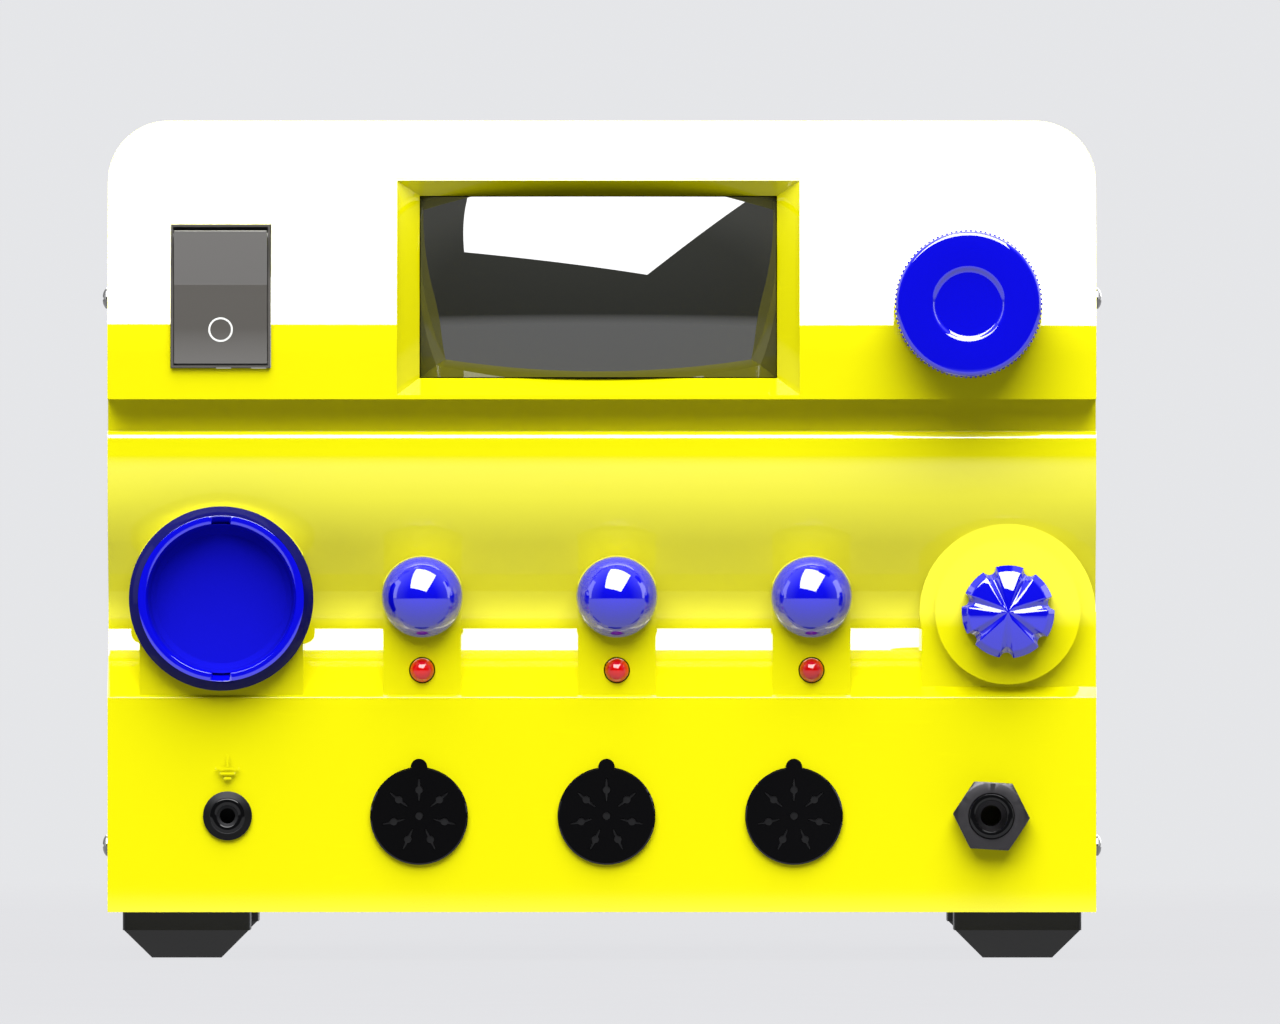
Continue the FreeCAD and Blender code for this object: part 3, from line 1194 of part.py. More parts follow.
def build_power_supply():
    """Toroidal transformer with its clamp, and the main board with its large parts."""
    x, y = size.toroid_shift, FRONT + size.toroid_depth
    radius, bore, tall = size.toroid_radius, size.toroid_bore, size.toroid_tall
    body = new_body("toroid_transformer", x, y, TRAY_FLOOR)
    soft = 9.0
    turned(body, [(bore, soft), (bore + soft, 0), (radius - soft, 0, soft), (radius, soft),
                  (radius, tall - soft, soft), (radius - soft, tall), (bore + soft, tall), (bore, tall - soft)])
    body = new_body("toroid_clamp", x, y, TRAY_FLOOR + tall)
    turned(body, [(3.2, -3), (bore - 3, -3), (bore + soft, 0), (radius - soft, 0), (radius - soft, 1.5),
                  (bore + soft - 0.5, 1.5), (bore - 3.5, -1.5), (3.2, -1.5)])
    body = new_body("toroid_bolt", x, y, TRAY_FLOOR + tall - 1.5)
    turned(body, [(0, 1.5 - tall), (3, 1.5 - tall), (3, 0), (5, 0), (5, 4), (0, 4)])

    wide = size.body_width - 48
    board_y = FRONT + size.main_board_depth + size.main_board_long / 2
    body = new_body("main_board", 0, board_y, TRAY_FLOOR + size.standoff)
    sketch = new_sketch(body)
    rectangle(sketch, 0, 0, wide, size.main_board_long)
    for side in (-1, 1):
        for end in (-1, 1):
            circle(sketch, (wide / 2 - 5) * side, (size.main_board_long / 2 - 5) * end, 1.6)
    pad(body, sketch, size.board_thickness)
    body = new_body("board_spacers", 5 - wide / 2, board_y - size.main_board_long / 2 + 5, TRAY_FLOOR)
    post = turned(body, [(0, 0), (2.8, 0), (2.8, size.standoff), (1.5, size.standoff),
                         (1.5, size.standoff + size.board_thickness + 2), (0, size.standoff
                                                                           + size.board_thickness + 2)])
    sketch = new_sketch(body)
    along(body, [post], sketch, ("H_Axis", wide - 10, 2), ("V_Axis", size.main_board_long - 10, 2))

    top = TRAY_FLOOR + size.standoff + size.board_thickness
    body = new_body("smoothing_capacitors", -52, board_y, top)
    can = turned(body, [(0, 0), (9, 0), (9, 28), (8, 29), (0, 29)])
    sketch = new_sketch(body)
    along(body, [can], sketch, ("H_Axis", 44, 3))
    body = new_body("heat_sink", 36, board_y, top)
    sketch = new_sketch(body, "XZ_Plane")
    fins = 7
    pitch = 6.0
    comb = [(0, 0), (fins * pitch - 4, 0)]
    for fin in reversed(range(fins)):
        comb += [(fin * pitch + 2, 32), (fin * pitch, 32)]
        if fin:
            comb += [(fin * pitch, 4), (fin * pitch - 4, 4)]
    outline(sketch, comb)
    pad(body, sketch, 24, both=True)
    body = new_body("triacs", 40, board_y - 12, top + 1, "front")
    sketch = new_sketch(body)
    rectangle(sketch, 0, 8, 10, 15)
    chip = pad(body, sketch, 4.5)
    along(body, [chip], sketch, ("H_Axis", 28, 3))


def build_pump():
    """Vacuum and air pump on rubber mounts, with the solenoid valve beside it."""
    x, y, z = station_x(size.pump_inset, 1), FRONT + size.pump_depth, size.pump_height
    radius, long = size.pump_motor_radius, size.pump_motor_long
    cradle_top = z - radius
    body = new_body("pump_cradle", x, y - 6, TRAY_FLOOR)
    sketch = new_sketch(body, "XY_Plane", cradle_top - TRAY_FLOOR - 3)
    rectangle(sketch, 0, 21, radius * 2, long + 16)
    pad(body, sketch, 3)
    sketch = new_sketch(body, "XZ_Plane")
    for side in (-1, 1):
        rectangle(sketch, (radius - 1) * side, (cradle_top - TRAY_FLOOR - 2) / 2, 2, cradle_top - TRAY_FLOOR - 2)
    pad(body, sketch, long + 10, backwards=True)
    body = new_body("pump_motor", x, y, z, "back")
    turned(body, [(3.2, 0), (radius, 0), (radius, long), (0, long), (0, 2), (3.2, 2)])
    body = new_body("pump_head", x, y, z, "front")
    sketch = new_sketch(body, "XY_Plane", 1)
    chamber = 9 + size.pump_throw
    rectangle(sketch, 0, 0, radius * 2 + 20, radius * 1.8)
    circle(sketch, 0, 0, chamber)
    pad(body, sketch, 14)
    sketch = new_sketch(body, "XY_Plane", 0)
    rectangle(sketch, 0, 0, radius * 2 + 20, radius * 1.8)
    circle(sketch, 0, 0, radius * 0.55)
    pad(body, sketch, 1)
    sketch = new_sketch(body, "YZ_Plane", radius + 10)
    circle(sketch, 0, 8, 2.5)
    pad(body, sketch, 8)
    body = new_body("pump_eccentric", x, y, z, "front")
    shaft = 3.2 - size.running_gap
    sketch = new_sketch(body, "XY_Plane", -1.5)
    circle(sketch, 0, 0, shaft)
    pad(body, sketch, 16)
    sketch = new_sketch(body, "XY_Plane", 3)
    circle(sketch, size.pump_throw, 0, 8)
    pad(body, sketch, 7)
    body = new_body("solenoid_valve", x + 2, FRONT + size.pump_depth - 34, TRAY_FLOOR)
    sketch = new_sketch(body)
    rectangle(sketch, 0, 0, 22, 18)
    pad(body, sketch, 24)
    sketch = new_sketch(body, "XY_Plane", 24)
    circle(sketch, 0, 0, 2.5)
    pad(body, sketch, 8)


def build_all():
    """Build every sub-part."""
    build_lower_panel()
    build_upper_panel()
    build_display()
    build_housing()
    build_feet()
    build_side_screws()
    build_mains_switch()
    build_dial()
    build_buttons()
    build_filter()
    build_air_valve()
    build_sockets()
    build_ground_jack()
    build_air_outlet()
    build_panel_nuts()
    build_fan()
    build_inlet()
    build_power_supply()
    build_pump()


def export_all():
    """Check every object, then write each sub-part to its own file."""
    document.recompute()
    for item in document.Objects:
        if {"Invalid", "Error"} & set(item.State):
            raise ValueError(f"{item.Label} failed: {item.State}")
    bodies = [item for item in document.Objects if item.isDerivedFrom("PartDesign::Body")]
    for body in bodies:
        if body.Shape.isNull() or not body.Shape.isValid() or not body.Shape.Solids:
            raise ValueError(f"{body.Label}: its shape is not valid")
    os.makedirs("parts", exist_ok=True)
    for body in bodies:
        body.Shape.exportStep(f"parts/{body.Label}.step")
    print(len(bodies), "sub-parts written")


build_all()
export_all()
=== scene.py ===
"""Looks of a bench soldering and rework station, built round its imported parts.

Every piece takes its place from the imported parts' own boxes. Lengths are in metres, and MM turns
millimetres into them. The panel faces -Y, +X is to its right and +Z is up.
"""

import logging
import math
from collections.abc import Callable, Sequence
from dataclasses import dataclass, field
from enum import Enum

import bmesh
import bpy
from mathutils import Matrix, Vector


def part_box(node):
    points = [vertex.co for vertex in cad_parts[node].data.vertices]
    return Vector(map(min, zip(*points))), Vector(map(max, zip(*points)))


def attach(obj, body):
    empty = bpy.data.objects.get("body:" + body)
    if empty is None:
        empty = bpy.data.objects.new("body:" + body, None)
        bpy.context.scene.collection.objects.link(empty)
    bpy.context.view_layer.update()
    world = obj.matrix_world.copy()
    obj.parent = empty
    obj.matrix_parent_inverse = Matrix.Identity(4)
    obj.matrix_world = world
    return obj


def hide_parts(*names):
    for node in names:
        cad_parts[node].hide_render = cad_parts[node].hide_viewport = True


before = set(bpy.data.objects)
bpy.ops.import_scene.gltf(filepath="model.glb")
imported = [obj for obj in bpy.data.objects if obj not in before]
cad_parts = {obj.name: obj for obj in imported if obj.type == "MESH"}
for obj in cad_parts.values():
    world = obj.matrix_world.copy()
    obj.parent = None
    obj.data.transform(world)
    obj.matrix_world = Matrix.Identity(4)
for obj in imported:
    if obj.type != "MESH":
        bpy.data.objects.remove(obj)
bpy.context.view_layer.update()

LOG = logging.getLogger("station")
MM = 0.001

Colour = tuple[float, float, float]
Profile = list[tuple[float, float]]


class Slot(str, Enum):
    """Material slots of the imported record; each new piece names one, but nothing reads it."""

    YELLOW = "yellow_moulding"
    BLUE = "blue_moulding"
    RED = "red_lens"
    WINDOW = "smoked_window"
    SWITCH = "grey_switch"
    BLACK = "black_plastic"
    STEEL = "plated_steel"
    CONTACT = "contact_metal"
    GREY_METAL = "grey_metal"


class Facing(Enum):
    """Ways that a turned piece can point: its own +Z goes to this direction."""

    FRONT = "front"
    BACK = "back"
    LEFT = "left"
    RIGHT = "right"
    UP = "up"

    def matrix(self) -> Matrix:
        """Turn from a piece's own axes to the station's, keeping its own +Y upright where it can."""
        columns = {
            Facing.FRONT: ((1, 0, 0), (0, 0, 1), (0, -1, 0)),
            Facing.BACK: ((-1, 0, 0), (0, 0, 1), (0, 1, 0)),
            Facing.LEFT: ((0, -1, 0), (0, 0, 1), (-1, 0, 0)),
            Facing.RIGHT: ((0, 1, 0), (0, 0, 1), (1, 0, 0)),
            Facing.UP: ((1, 0, 0), (0, 1, 0), (0, 0, 1)),
        }[self]
        return Matrix(columns).transposed().to_4x4()


# ---------------------------------------------------------------- shader expressions


class Wire:
    """One value in a shader tree. Arithmetic on it adds Math nodes."""

    def __init__(self, shader: "Shader", socket: bpy.types.NodeSocket) -> None:
        """Wraps an output socket of a shader's tree."""
        self.shader = shader
        self.socket = socket

    def math(self, operation: str, *others: "Wire | float", clamp: bool = False) -> "Wire":
        """Adds one Math node.

        Args:
            operation: The Math node's operation.
            others: Its second and third values.
            clamp: Keeps the result from 0 to 1.

        Returns:
            The node's result.
        """
        settings = {"operation": operation, "use_clamp": clamp}
        return self.shader.node("ShaderNodeMath", settings, dict(enumerate((self, *others))))

    def __add__(self, other: "Wire | float") -> "Wire":
        """Sum."""
        return self.math("ADD", other)

    def __sub__(self, other: "Wire | float") -> "Wire":
        """Difference."""
        return self.math("SUBTRACT", other)

    def __rsub__(self, other: float) -> "Wire":
        """A number less this value."""
        return self.math("MULTIPLY_ADD", -1.0, other)

    def __mul__(self, other: "Wire | float") -> "Wire":
        """Product."""
        return self.math("MULTIPLY", other)

    def __truediv__(self, other: "Wire | float") -> "Wire":
        """Quotient."""
        return self.math("DIVIDE", other)

    __radd__ = __add__
    __rmul__ = __mul__

    def above(self, edge: float, soft: float) -> "Wire":
        """Mask that rises from 0 to 1 over a soft step.

        Args:
            edge: Where the mask is a half.
            soft: Width of the step.

        Returns:
            The mask.
        """
        return ((self - edge) / soft + 0.5).math("ADD", 0.0, clamp=True)

    def channel(self, name: str) -> "Wire":
        """One of X, Y and Z of a vector value."""
        return self.shader.node("ShaderNodeSeparateXYZ", {}, {0: self}, name)


class Shader:
    """The node tree of a material or of the world, with one method that makes any node."""

    def __init__(self, owner: bpy.types.Material | bpy.types.World) -> None:
        """Empties the owner's tree."""
        owner.use_nodes = True
        self.owner = owner
        self.tree = owner.node_tree
        self.tree.nodes.clear()

    def node(
        self,
        kind: str,
        settings: dict[str, object],
        values: dict[int | str, "Wire | float | Sequence[float]"],
        output: int | str = 0,
    ) -> Wire:
        """Adds a node, sets it up and fills its sockets.

        Args:
            kind: The node's type.
            settings: Its settings.
            values: Its sockets' values or links, by name or number.
            output: The output that is wanted.

        Returns:
            That output.
        """
        node = self.tree.nodes.new(kind)
        for key, value in settings.items():
            setattr(node, key, value)
        for key, value in values.items():
            if isinstance(value, Wire):
                self.tree.links.new(value.socket, node.inputs[key])
            else:
                node.inputs[key].default_value = value
        return Wire(self, node.outputs[output])

    def place(self, centre: Vector | None = None, stretch: Sequence[float] = (1, 1, 1)) -> Wire:
        """Object coordinates, moved to a centre and stretched.

        Args:
            centre: Point that becomes the origin.
            stretch: Factor along each axis.

        Returns:
            The coordinates.
        """
        where = self.node("ShaderNodeTexCoord", {}, {}, "Object")
        if centre is None and tuple(stretch) == (1, 1, 1):
            return where
        move = [-value * factor for value, factor in zip(centre or (0, 0, 0), stretch)]
        return self.node("ShaderNodeMapping", {}, {"Vector": where, "Location": move, "Scale": stretch})

    def noise(self, where: Wire, scale: float, detail: float = 2.0) -> Wire:
        """Noise from 0 to 1 with features about 1 / scale across."""
        values = {"Vector": where, "Scale": scale, "Detail": detail}
        return self.node("ShaderNodeTexNoise", {}, values, "Fac")

    def blend(self, factor: Wire, first: Wire | Colour, second: Wire | Colour) -> Wire:
        """Colour between two colours."""
        colours = [value if isinstance(value, Wire) else (*value, 1.0) for value in (first, second)]
        values = {0: factor, 6: colours[0], 7: colours[1]}
        return self.node("ShaderNodeMix", {"data_type": "RGBA"}, values, 2)

    def bump(self, height: Wire, strength: float, distance: float) -> Wire:
        """Normal of a surface with that relief."""
        values = {"Height": height, "Strength": strength, "Distance": distance}
        return self.node("ShaderNodeBump", {}, values, "Normal")

    def finish(self, surface: dict[str, "Wire | float | Sequence[float]"]) -> bpy.types.Material:
        """Closes the tree with a Principled shader.

        Args:
            surface: The shader's sockets, by name.

        Returns:
            The material.
        """
        self.close(self.node("ShaderNodeBsdfPrincipled", {}, surface), "ShaderNodeOutputMaterial")
        return self.owner

    def close(self, result: Wire, kind: str) -> None:
        """Links a shader to an output node of that kind."""
        output = self.tree.nodes.new(kind)
        self.tree.links.new(result.socket, output.inputs["Surface"])


# ---------------------------------------------------------------- finishes


@dataclass(frozen=True)
class Finish:
    """A surface finish: its name, colour and the makers' knobs that every finish has."""

    name: str
    colour: Colour
    roughness: float = 0.3

    def material(self) -> bpy.types.Material:
        """The finish's material, made once."""
        found = bpy.data.materials.get(self.name)
        return found or self.surface(Shader(bpy.data.materials.new(self.name)))

    def surface(self, shader: Shader) -> bpy.types.Material:
        """Builds the material. Each finish has its own."""
        raise NotImplementedError

    def shade(self, factor: float) -> Colour:
        """The finish's colour, lighter or darker."""
        return tuple(min(1.0, value * factor) for value in self.colour)


@dataclass(frozen=True)
class MouldedPlastic(Finish):
    """Injection-moulded plastic: flow marks in its tone, a fine skin and a few handling scuffs."""

    gloss: float = 1.0
    gloss_ior: float = 2.05
    mottle: float = 0.05
    skin: float = 0.05
    painted_sheen_heights: tuple[float, float] | None = None
    painted_sheen_tone: Colour = (0.0, 0.0, 0.0)

    def surface(self, shader: Shader) -> bpy.types.Material:
        """Polished or matt moulded plastic; between two heights its colour is a painted sheen of paler, bluish yellow
        and its coat is thinner.
        """
        where = shader.place()
        flow = shader.noise(shader.place(stretch=(1, 1, 0.4)), 24, 3)
        skin = shader.noise(where, 2600, 2)
        scuff = shader.noise(shader.place(stretch=(1, 0.4, 9)), 90, 4).above(0.69, 0.05)
        tone = shader.blend(flow, self.shade(1 - self.mottle), self.shade(1 + self.mottle))
        polish = scuff * (-0.12 * self.gloss) + self.gloss
        # Painted sheen: between the two heights the tone turns paler and bluish, standing in for the pale reflection
        # in the panel's hollow; the coat thins there too.
        if self.painted_sheen_heights:
            height = where.channel("Z")
            low, high = self.painted_sheen_heights
            painted_sheen = height.above(low, 3 * MM) * (1 - height.above(high, 6 * MM))
            tone = shader.blend(painted_sheen, tone, self.painted_sheen_tone)
            polish = polish * (1 - painted_sheen * 0.85)
        return shader.finish({
            "Base Color": tone,
            "Roughness": skin * 0.05 + scuff * 0.06 + (self.roughness - 0.025),
            "Specular IOR Level": 0.0,
            "Coat Weight": polish,
            "Coat IOR": self.gloss_ior,
            "Coat Roughness": 0.02,
            "Normal": shader.bump(skin, self.skin, 0.05 * MM),
        })


@dataclass(frozen=True)
class PaintedSheet(Finish):
    """Stoved paint on sheet steel: a pebbled coat over the faint rolling lines of the sheet."""

    pebble: float = 0.16

    def surface(self, shader: Shader) -> bpy.types.Material:
        """Satin paint with orange peel."""
        where = shader.place()
        peel = shader.noise(where, 850, 2)
        rolled = shader.noise(shader.place(stretch=(1, 0.03, 1)), 240, 2)
        broad = shader.noise(where, 14, 3)
        tone = shader.blend(broad, self.shade(0.95), self.shade(1.05))
        return shader.finish({
            "Base Color": tone,
            "Roughness": peel * 0.10 + rolled * 0.06 + (self.roughness - 0.08),
            "Coat Weight": 0.5,
            "Coat Roughness": 0.12,
            "Normal": shader.bump(peel + rolled * 0.3, self.pebble, 0.08 * MM),
        })


@dataclass(frozen=True)
class WorkedMetal(Finish):
    """Plated, drawn or turned metal: tool lines run across one axis, and the plating has a bloom."""

    lines: tuple[float, float, float] = (1, 1, 1)
    line_scale: float = 1400
    relief: float = 0.05

    def surface(self, shader: Shader) -> bpy.types.Material:
        """Metal with tool lines."""
        lines = shader.noise(shader.place(stretch=self.lines), self.line_scale, 3)
        bloom = shader.noise(shader.place(), 160, 3)
        tone = shader.blend(bloom, self.shade(0.88), self.shade(1.08))
        return shader.finish({
            "Base Color": tone,
            "Metallic": 1.0,
            "Roughness": lines * 0.12 + bloom * 0.08 + (self.roughness - 0.1),
            "Normal": shader.bump(lines, self.relief, 0.03 * MM),
        })


@dataclass(frozen=True)
class RubberCompound(Finish):
    """Moulded rubber: matt, finely grained, a little dusty in patches."""

    dust: float = 0.12

    def surface(self, shader: Shader) -> bpy.types.Material:
        """Matt rubber."""
        where = shader.place()
        grain = shader.noise(where, 1900, 3)
        patches = shader.noise(where, 75, 4).above(0.6, 0.25)
        tone = shader.blend(patches * self.dust, self.colour, (0.16, 0.15, 0.14))
        return shader.finish({
            "Base Color": tone,
            "Roughness": grain * 0.12 + (self.roughness - 0.06),
            "Specular IOR Level": 0.4,
            "Normal": shader.bump(grain, 0.25, 0.06 * MM),
        })


@dataclass(frozen=True)
class TintedLens(Finish):
    """Clear tinted resin over a lit or dark middle: lamp lenses and the display window."""

    inner: Colour = (0.2, 0.0, 0.0)
    reach: float = 2.5 * MM
    glow: float = 0.0
    gloss_ior: float = 2.05

    def surface(self, shader: Shader) -> bpy.types.Material:
        """Glassy tinted resin, a little deeper in tone where its own cloud drifts."""
        where = shader.place()
        cloud = shader.noise(where, 0.35 / self.reach, 2)
        smear = shader.noise(shader.place(stretch=(1, 1, 0.35)), 60, 3).above(0.62, 0.2)
        tone = shader.blend(cloud, self.colour, self.inner)
        return shader.finish({
            "Base Color": tone,
            "Roughness": smear * 0.05 + self.roughness,
            "Specular IOR Level": 0.0,
            "Coat Weight": 1.0,
            "Coat IOR": self.gloss_ior,
            "Coat Roughness": 0.0,
            "Emission Color": tone,
            "Emission Strength": self.glow,
        })


@dataclass(frozen=True)
class CircuitLaminate(Finish):
    """Glass-epoxy board: solder mask over a lattice of tracks, with tinned pads."""

    track: Colour = (0.03, 0.22, 0.07)
    flat: tuple[int, int] = (0, 1)

    def surface(self, shader: Shader) -> bpy.types.Material:
        """Board with tracks and pads, laid on two of its axes."""
        names = "XYZ"
        where = shader.place()
        across = [where.channel(names[axis]) for axis in self.flat]
        plane = shader.node("ShaderNodeCombineXYZ", {}, {"X": across[0], "Y": across[1]})
        bricks = {"Vector": plane, "Scale": 1.0, "Mortar Size": 0.3 * MM, "Brick Width": 5 * MM,
                  "Row Height": 1.6 * MM}
        tracks = shader.node("ShaderNodeTexBrick", {"offset": 0.4}, bricks, "Fac")
        pads = shader.node("ShaderNodeTexVoronoi", {}, {"Vector": plane, "Scale": 260}, "Distance")
        pad = 1 - pads.above(0.16, 0.03)
        masked = shader.blend(tracks, self.colour, self.track)
        return shader.finish({
            "Base Color": shader.blend(pad, masked, (0.62, 0.62, 0.60)),
            "Metallic": pad * 0.9,
            "Roughness": pad * -0.1 + self.roughness,
            "Normal": shader.bump(tracks + pad, 0.3, 0.05 * MM),
        })


@dataclass(frozen=True)
class WoundWire(Finish):
    """Enamelled wire wound round a ring core: turns cross the rim like spokes."""

    centre: tuple[float, float, float] = (0.0, 0.0, 0.0)
    turns: int = 170

    def surface(self, shader: Shader) -> bpy.types.Material:
        """Copper turns under enamel; the colour darkens towards the gap between turns as painted shade."""
        where = shader.place(Vector(self.centre))
        angle = where.channel("Y").math("ARCTAN2", where.channel("X"))
        wave = (angle * float(self.turns)).math("SINE") * 0.5 + 0.5
        bloom = shader.noise(where, 120, 3)
        # Painted shade: the tone darkens to about a third at the gap between turns, where shade falls between the
        # wires.
        tone = shader.blend(wave * bloom, self.shade(0.35), self.colour)
        return shader.finish({
            "Base Color": tone,
            "Metallic": 0.8,
            "Roughness": wave * 0.1 + self.roughness,
            "Coat Weight": 0.6,
            "Normal": shader.bump(wave, 0.6, 0.3 * MM),
        })


@dataclass(frozen=True)
class Fibre(Finish):
    """Pressed felt of the filter element."""

    def surface(self, shader: Shader) -> bpy.types.Material:
        """Matt felt with tangled fibres."""
        fibres = shader.noise(shader.place(stretch=(1, 0.3, 1)), 1500, 6)
        tone = shader.blend(fibres, self.shade(0.7), self.shade(1.1))
        return shader.finish({
            "Base Color": tone,
            "Roughness": fibres * 0.1 + self.roughness,
            "Normal": shader.bump(fibres, 0.7, 0.2 * MM),
        })


@dataclass(frozen=True)
class ClearTube(Finish):
    """Glass tube of the filter, faintly green at its edges."""

    def surface(self, shader: Shader) -> bpy.types.Material:
        """Glass with a little fluxy haze."""
        haze = shader.noise(shader.place(), 180, 4).above(0.58, 0.3)
        return shader.finish({
            "Base Color": shader.blend(haze, self.colour, (0.75, 0.72, 0.6)),
            "Roughness": haze * 0.2 + self.roughness,
            "Transmission Weight": 0.85,
            "IOR": 1.5,
        })


# Painted sheen: from 66 to 93 mm the panel's colour turns to a paler, bluish yellow that stands in for the pale
# reflection in its hollow.
PANEL_YELLOW = MouldedPlastic("panel_yellow", (0.575, 0.545, 0.001), 0.34, painted_sheen_heights=(66 * MM, 93 * MM),
                              painted_sheen_tone=(0.62, 0.595, 0.036))
COVER_YELLOW = PaintedSheet("cover_yellow", (0.56, 0.52, 0.003), 0.36)
TRAY_GREY = PaintedSheet("tray_grey", (0.20, 0.20, 0.21), 0.42, pebble=0.22)
KNOB_BLUE = MouldedPlastic("knob_blue", (0.0010, 0.0010, 0.43), 0.32)
# Painted shade: a darker, matt blue for the dish lining, standing in for the shade inside the deep dish.
DISH_SHADE_BLUE = MouldedPlastic("dish_shade_blue", (0.0040, 0.0040, 0.34), 0.6, gloss=0.0)
# Painted shade: a dark navy for the cap's outer band, standing in for the shade on its steep side wall; the band is
# the same plastic as the cap.
RIM_SHADE_NAVY = MouldedPlastic("rim_shade_navy", (0.0035, 0.0035, 0.075), 0.6, gloss=0.12, gloss_ior=1.5)
LAMP_RED = TintedLens("lamp_red", (0.62, 0.002, 0.002), 0.05, inner=(0.20, 0.0, 0.0), glow=0.06, gloss_ior=1.7)
WINDOW_SMOKE = TintedLens("window_smoke", (0.0135, 0.014, 0.012), 0.04, inner=(0.017, 0.0175, 0.015), reach=60 * MM)
SWITCH_GREY = MouldedPlastic("switch_grey", (0.076, 0.072, 0.066), 0.45, mottle=0.0)
PRINT_WHITE = MouldedPlastic("print_white", (0.55, 0.56, 0.54), 0.5, gloss=0.1)
SOCKET_BLACK = MouldedPlastic("socket_black", (0.0022, 0.0022, 0.0025), 0.4, gloss=0.7, gloss_ior=1.5, mottle=0.2)
FRAME_BLACK = MouldedPlastic("frame_black", (0.012, 0.012, 0.013), 0.5, gloss=0.3, gloss_ior=1.5, mottle=0.15)
FOOT_RUBBER = RubberCompound("foot_rubber", (0.0040, 0.0040, 0.0037), 0.38, dust=0.02)
CONTACT_DARK = WorkedMetal("contact_dark", (0.018, 0.018, 0.019), 0.45)
BOARD_GREEN = CircuitLaminate("board_green", (0.012, 0.12, 0.04), 0.4)
PANEL_BOARD = CircuitLaminate("panel_board_green", (0.012, 0.12, 0.04), 0.4, flat=(0, 2))
SCREW_STEEL = WorkedMetal("screw_steel", (0.24, 0.24, 0.245), 0.2, lines=(1, 0.1, 1))
WIRE_CHROME = WorkedMetal("wire_chrome", (0.66, 0.66, 0.68), 0.2)
FITTING_GREY = WorkedMetal("fitting_grey", (0.06, 0.058, 0.062), 0.34, lines=(1, 0.08, 1))
SINK_ALLOY = WorkedMetal("sink_alloy", (0.55, 0.56, 0.58), 0.38, lines=(1, 1, 0.03))
BRASS_PIN = WorkedMetal("brass_pin", (0.66, 0.62, 0.50), 0.28, lines=(1, 0.1, 1))
TUBE_GLASS = ClearTube("tube_glass", (0.86, 0.93, 0.88), 0.03)
FELT_WHITE = Fibre("felt_white", (0.72, 0.70, 0.64), 0.9)


# ---------------------------------------------------------------- meshes


def arc(centre: tuple[float, float], radius: float, first: float, last: float, steps: int = 8) -> Profile:
    """Points of an arc.

    Args:
        centre: Its centre.
        radius: Its radius.
        first: Angle of its first point in degrees.
        last: Angle of its last point in degrees.
        steps: Number of spans.

    Returns:
        The points, ends included.
    """
    turns = [math.radians(first + (last - first) * step / steps) for step in range(steps + 1)]
    return [(centre[0] + radius * math.cos(turn), centre[1] + radius * math.sin(turn)) for turn in turns]


def eased(corners: Profile, radius: float, steps: int = 4, closed: bool = False) -> Profile:
    """Rounds the corners of a line with quadratic curves.

    Args:
        corners: The line's corners.
        radius: Length taken from each side of a corner, at most two fifths of the side.
        steps: Spans of each rounding.
        closed: Whether the line is closed; the ends of an open line stay.

    Returns:
        The rounded line.
    """
    points: Profile = []
    count = len(corners)
    for index, corner in enumerate(corners):
        if not closed and index in (0, count - 1):
            points.append(corner)
            continue
        here = Vector(corner)
        before = Vector(corners[index - 1]) - here
        after = Vector(corners[(index + 1) % count]) - here
        start = here + before * min(0.4, radius / max(before.length, 1e-9))
        end = here + after * min(0.4, radius / max(after.length, 1e-9))
        for step in range(steps + 1):
            share = step / steps
            point = start * (1 - share) ** 2 + here * 2 * share * (1 - share) + end * share**2
            points.append((point.x, point.y))
    return points


def lofted(rings: Sequence[Sequence[Vector]], closed_ends: tuple[bool, bool] = (True, True)) -> bmesh.types.BMesh:
    """Skin over rings of points.

    Args:
        rings: Rings of one count of points, or of a single point, from one end to the other.
        closed_ends: Whether the first and the last ring are filled.

    Returns:
        The mesh.
    """
    mesh = bmesh.new()
    rows = [[mesh.verts.new(point) for point in ring] for ring in rings]
    for lower, upper in zip(rows, rows[1:]):
        count = max(len(lower), len(upper))
        for index in range(count):
            following = (index + 1) % count
            corners = []
            for vert in (lower[index % len(lower)], lower[following % len(lower)],
                         upper[following % len(upper)], upper[index % len(upper)]):
                if vert not in corners:
                    corners.append(vert)
            if len(corners) > 2:
                mesh.faces.new(corners)
    for row, wanted in zip((rows[0], rows[-1]), closed_ends):
        if wanted and len(row) > 2:
            mesh.faces.new(row)
    return mesh


def turned(profile: Profile, steps: int = 96) -> bmesh.types.BMesh:
    """Solid of revolution about +Z.

    Args:
        profile: (radius, height) points; it starts and ends on the axis, or else it is closed.
        steps: Points of a turn.

    Returns:
        The mesh.
    """
    ring_profile = profile[0][0] > 1e-9
    points = [*profile, profile[0]] if ring_profile else profile
    rings = []
    for radius, height in points:
        around = steps if radius > 1e-9 else 1
        turns = [math.tau * index / steps for index in range(around)]
        rings.append([Vector((radius * math.cos(turn), radius * math.sin(turn), height)) for turn in turns])
    return lofted(rings, (False, False))


def relief_disc(
    edge: Callable[[float], float],
    height: Callable[[float, float], float],
    back: float,
    rings: int = 18,
    steps: int = 168,
) -> bmesh.types.BMesh:
    """Disc with a free outline and a relief on its face, closed at its sides and back.

    Args:
        edge: The outline's radius at an angle.
        height: The face's height at a share of that radius and an angle.
        back: Height of its flat back.
        rings: Rings from the middle to the edge.
        steps: Points of each ring.

    Returns:
        The mesh.
    """
    rows = [[Vector((0, 0, height(0.0, 0.0)))]]
    turns = [math.tau * step / steps for step in range(steps)]
    for ring in range(1, rings + 1):
        share = math.sin(math.pi / 2 * ring / rings)
        rows.append([Vector((edge(turn) * share * math.cos(turn), edge(turn) * share * math.sin(turn),
                             height(share, turn))) for turn in turns])
    rows.append([Vector((point.x, point.y, back)) for point in rows[-1]])
    rows.append([Vector((0, 0, back))])
    return lofted(rows, (False, False))


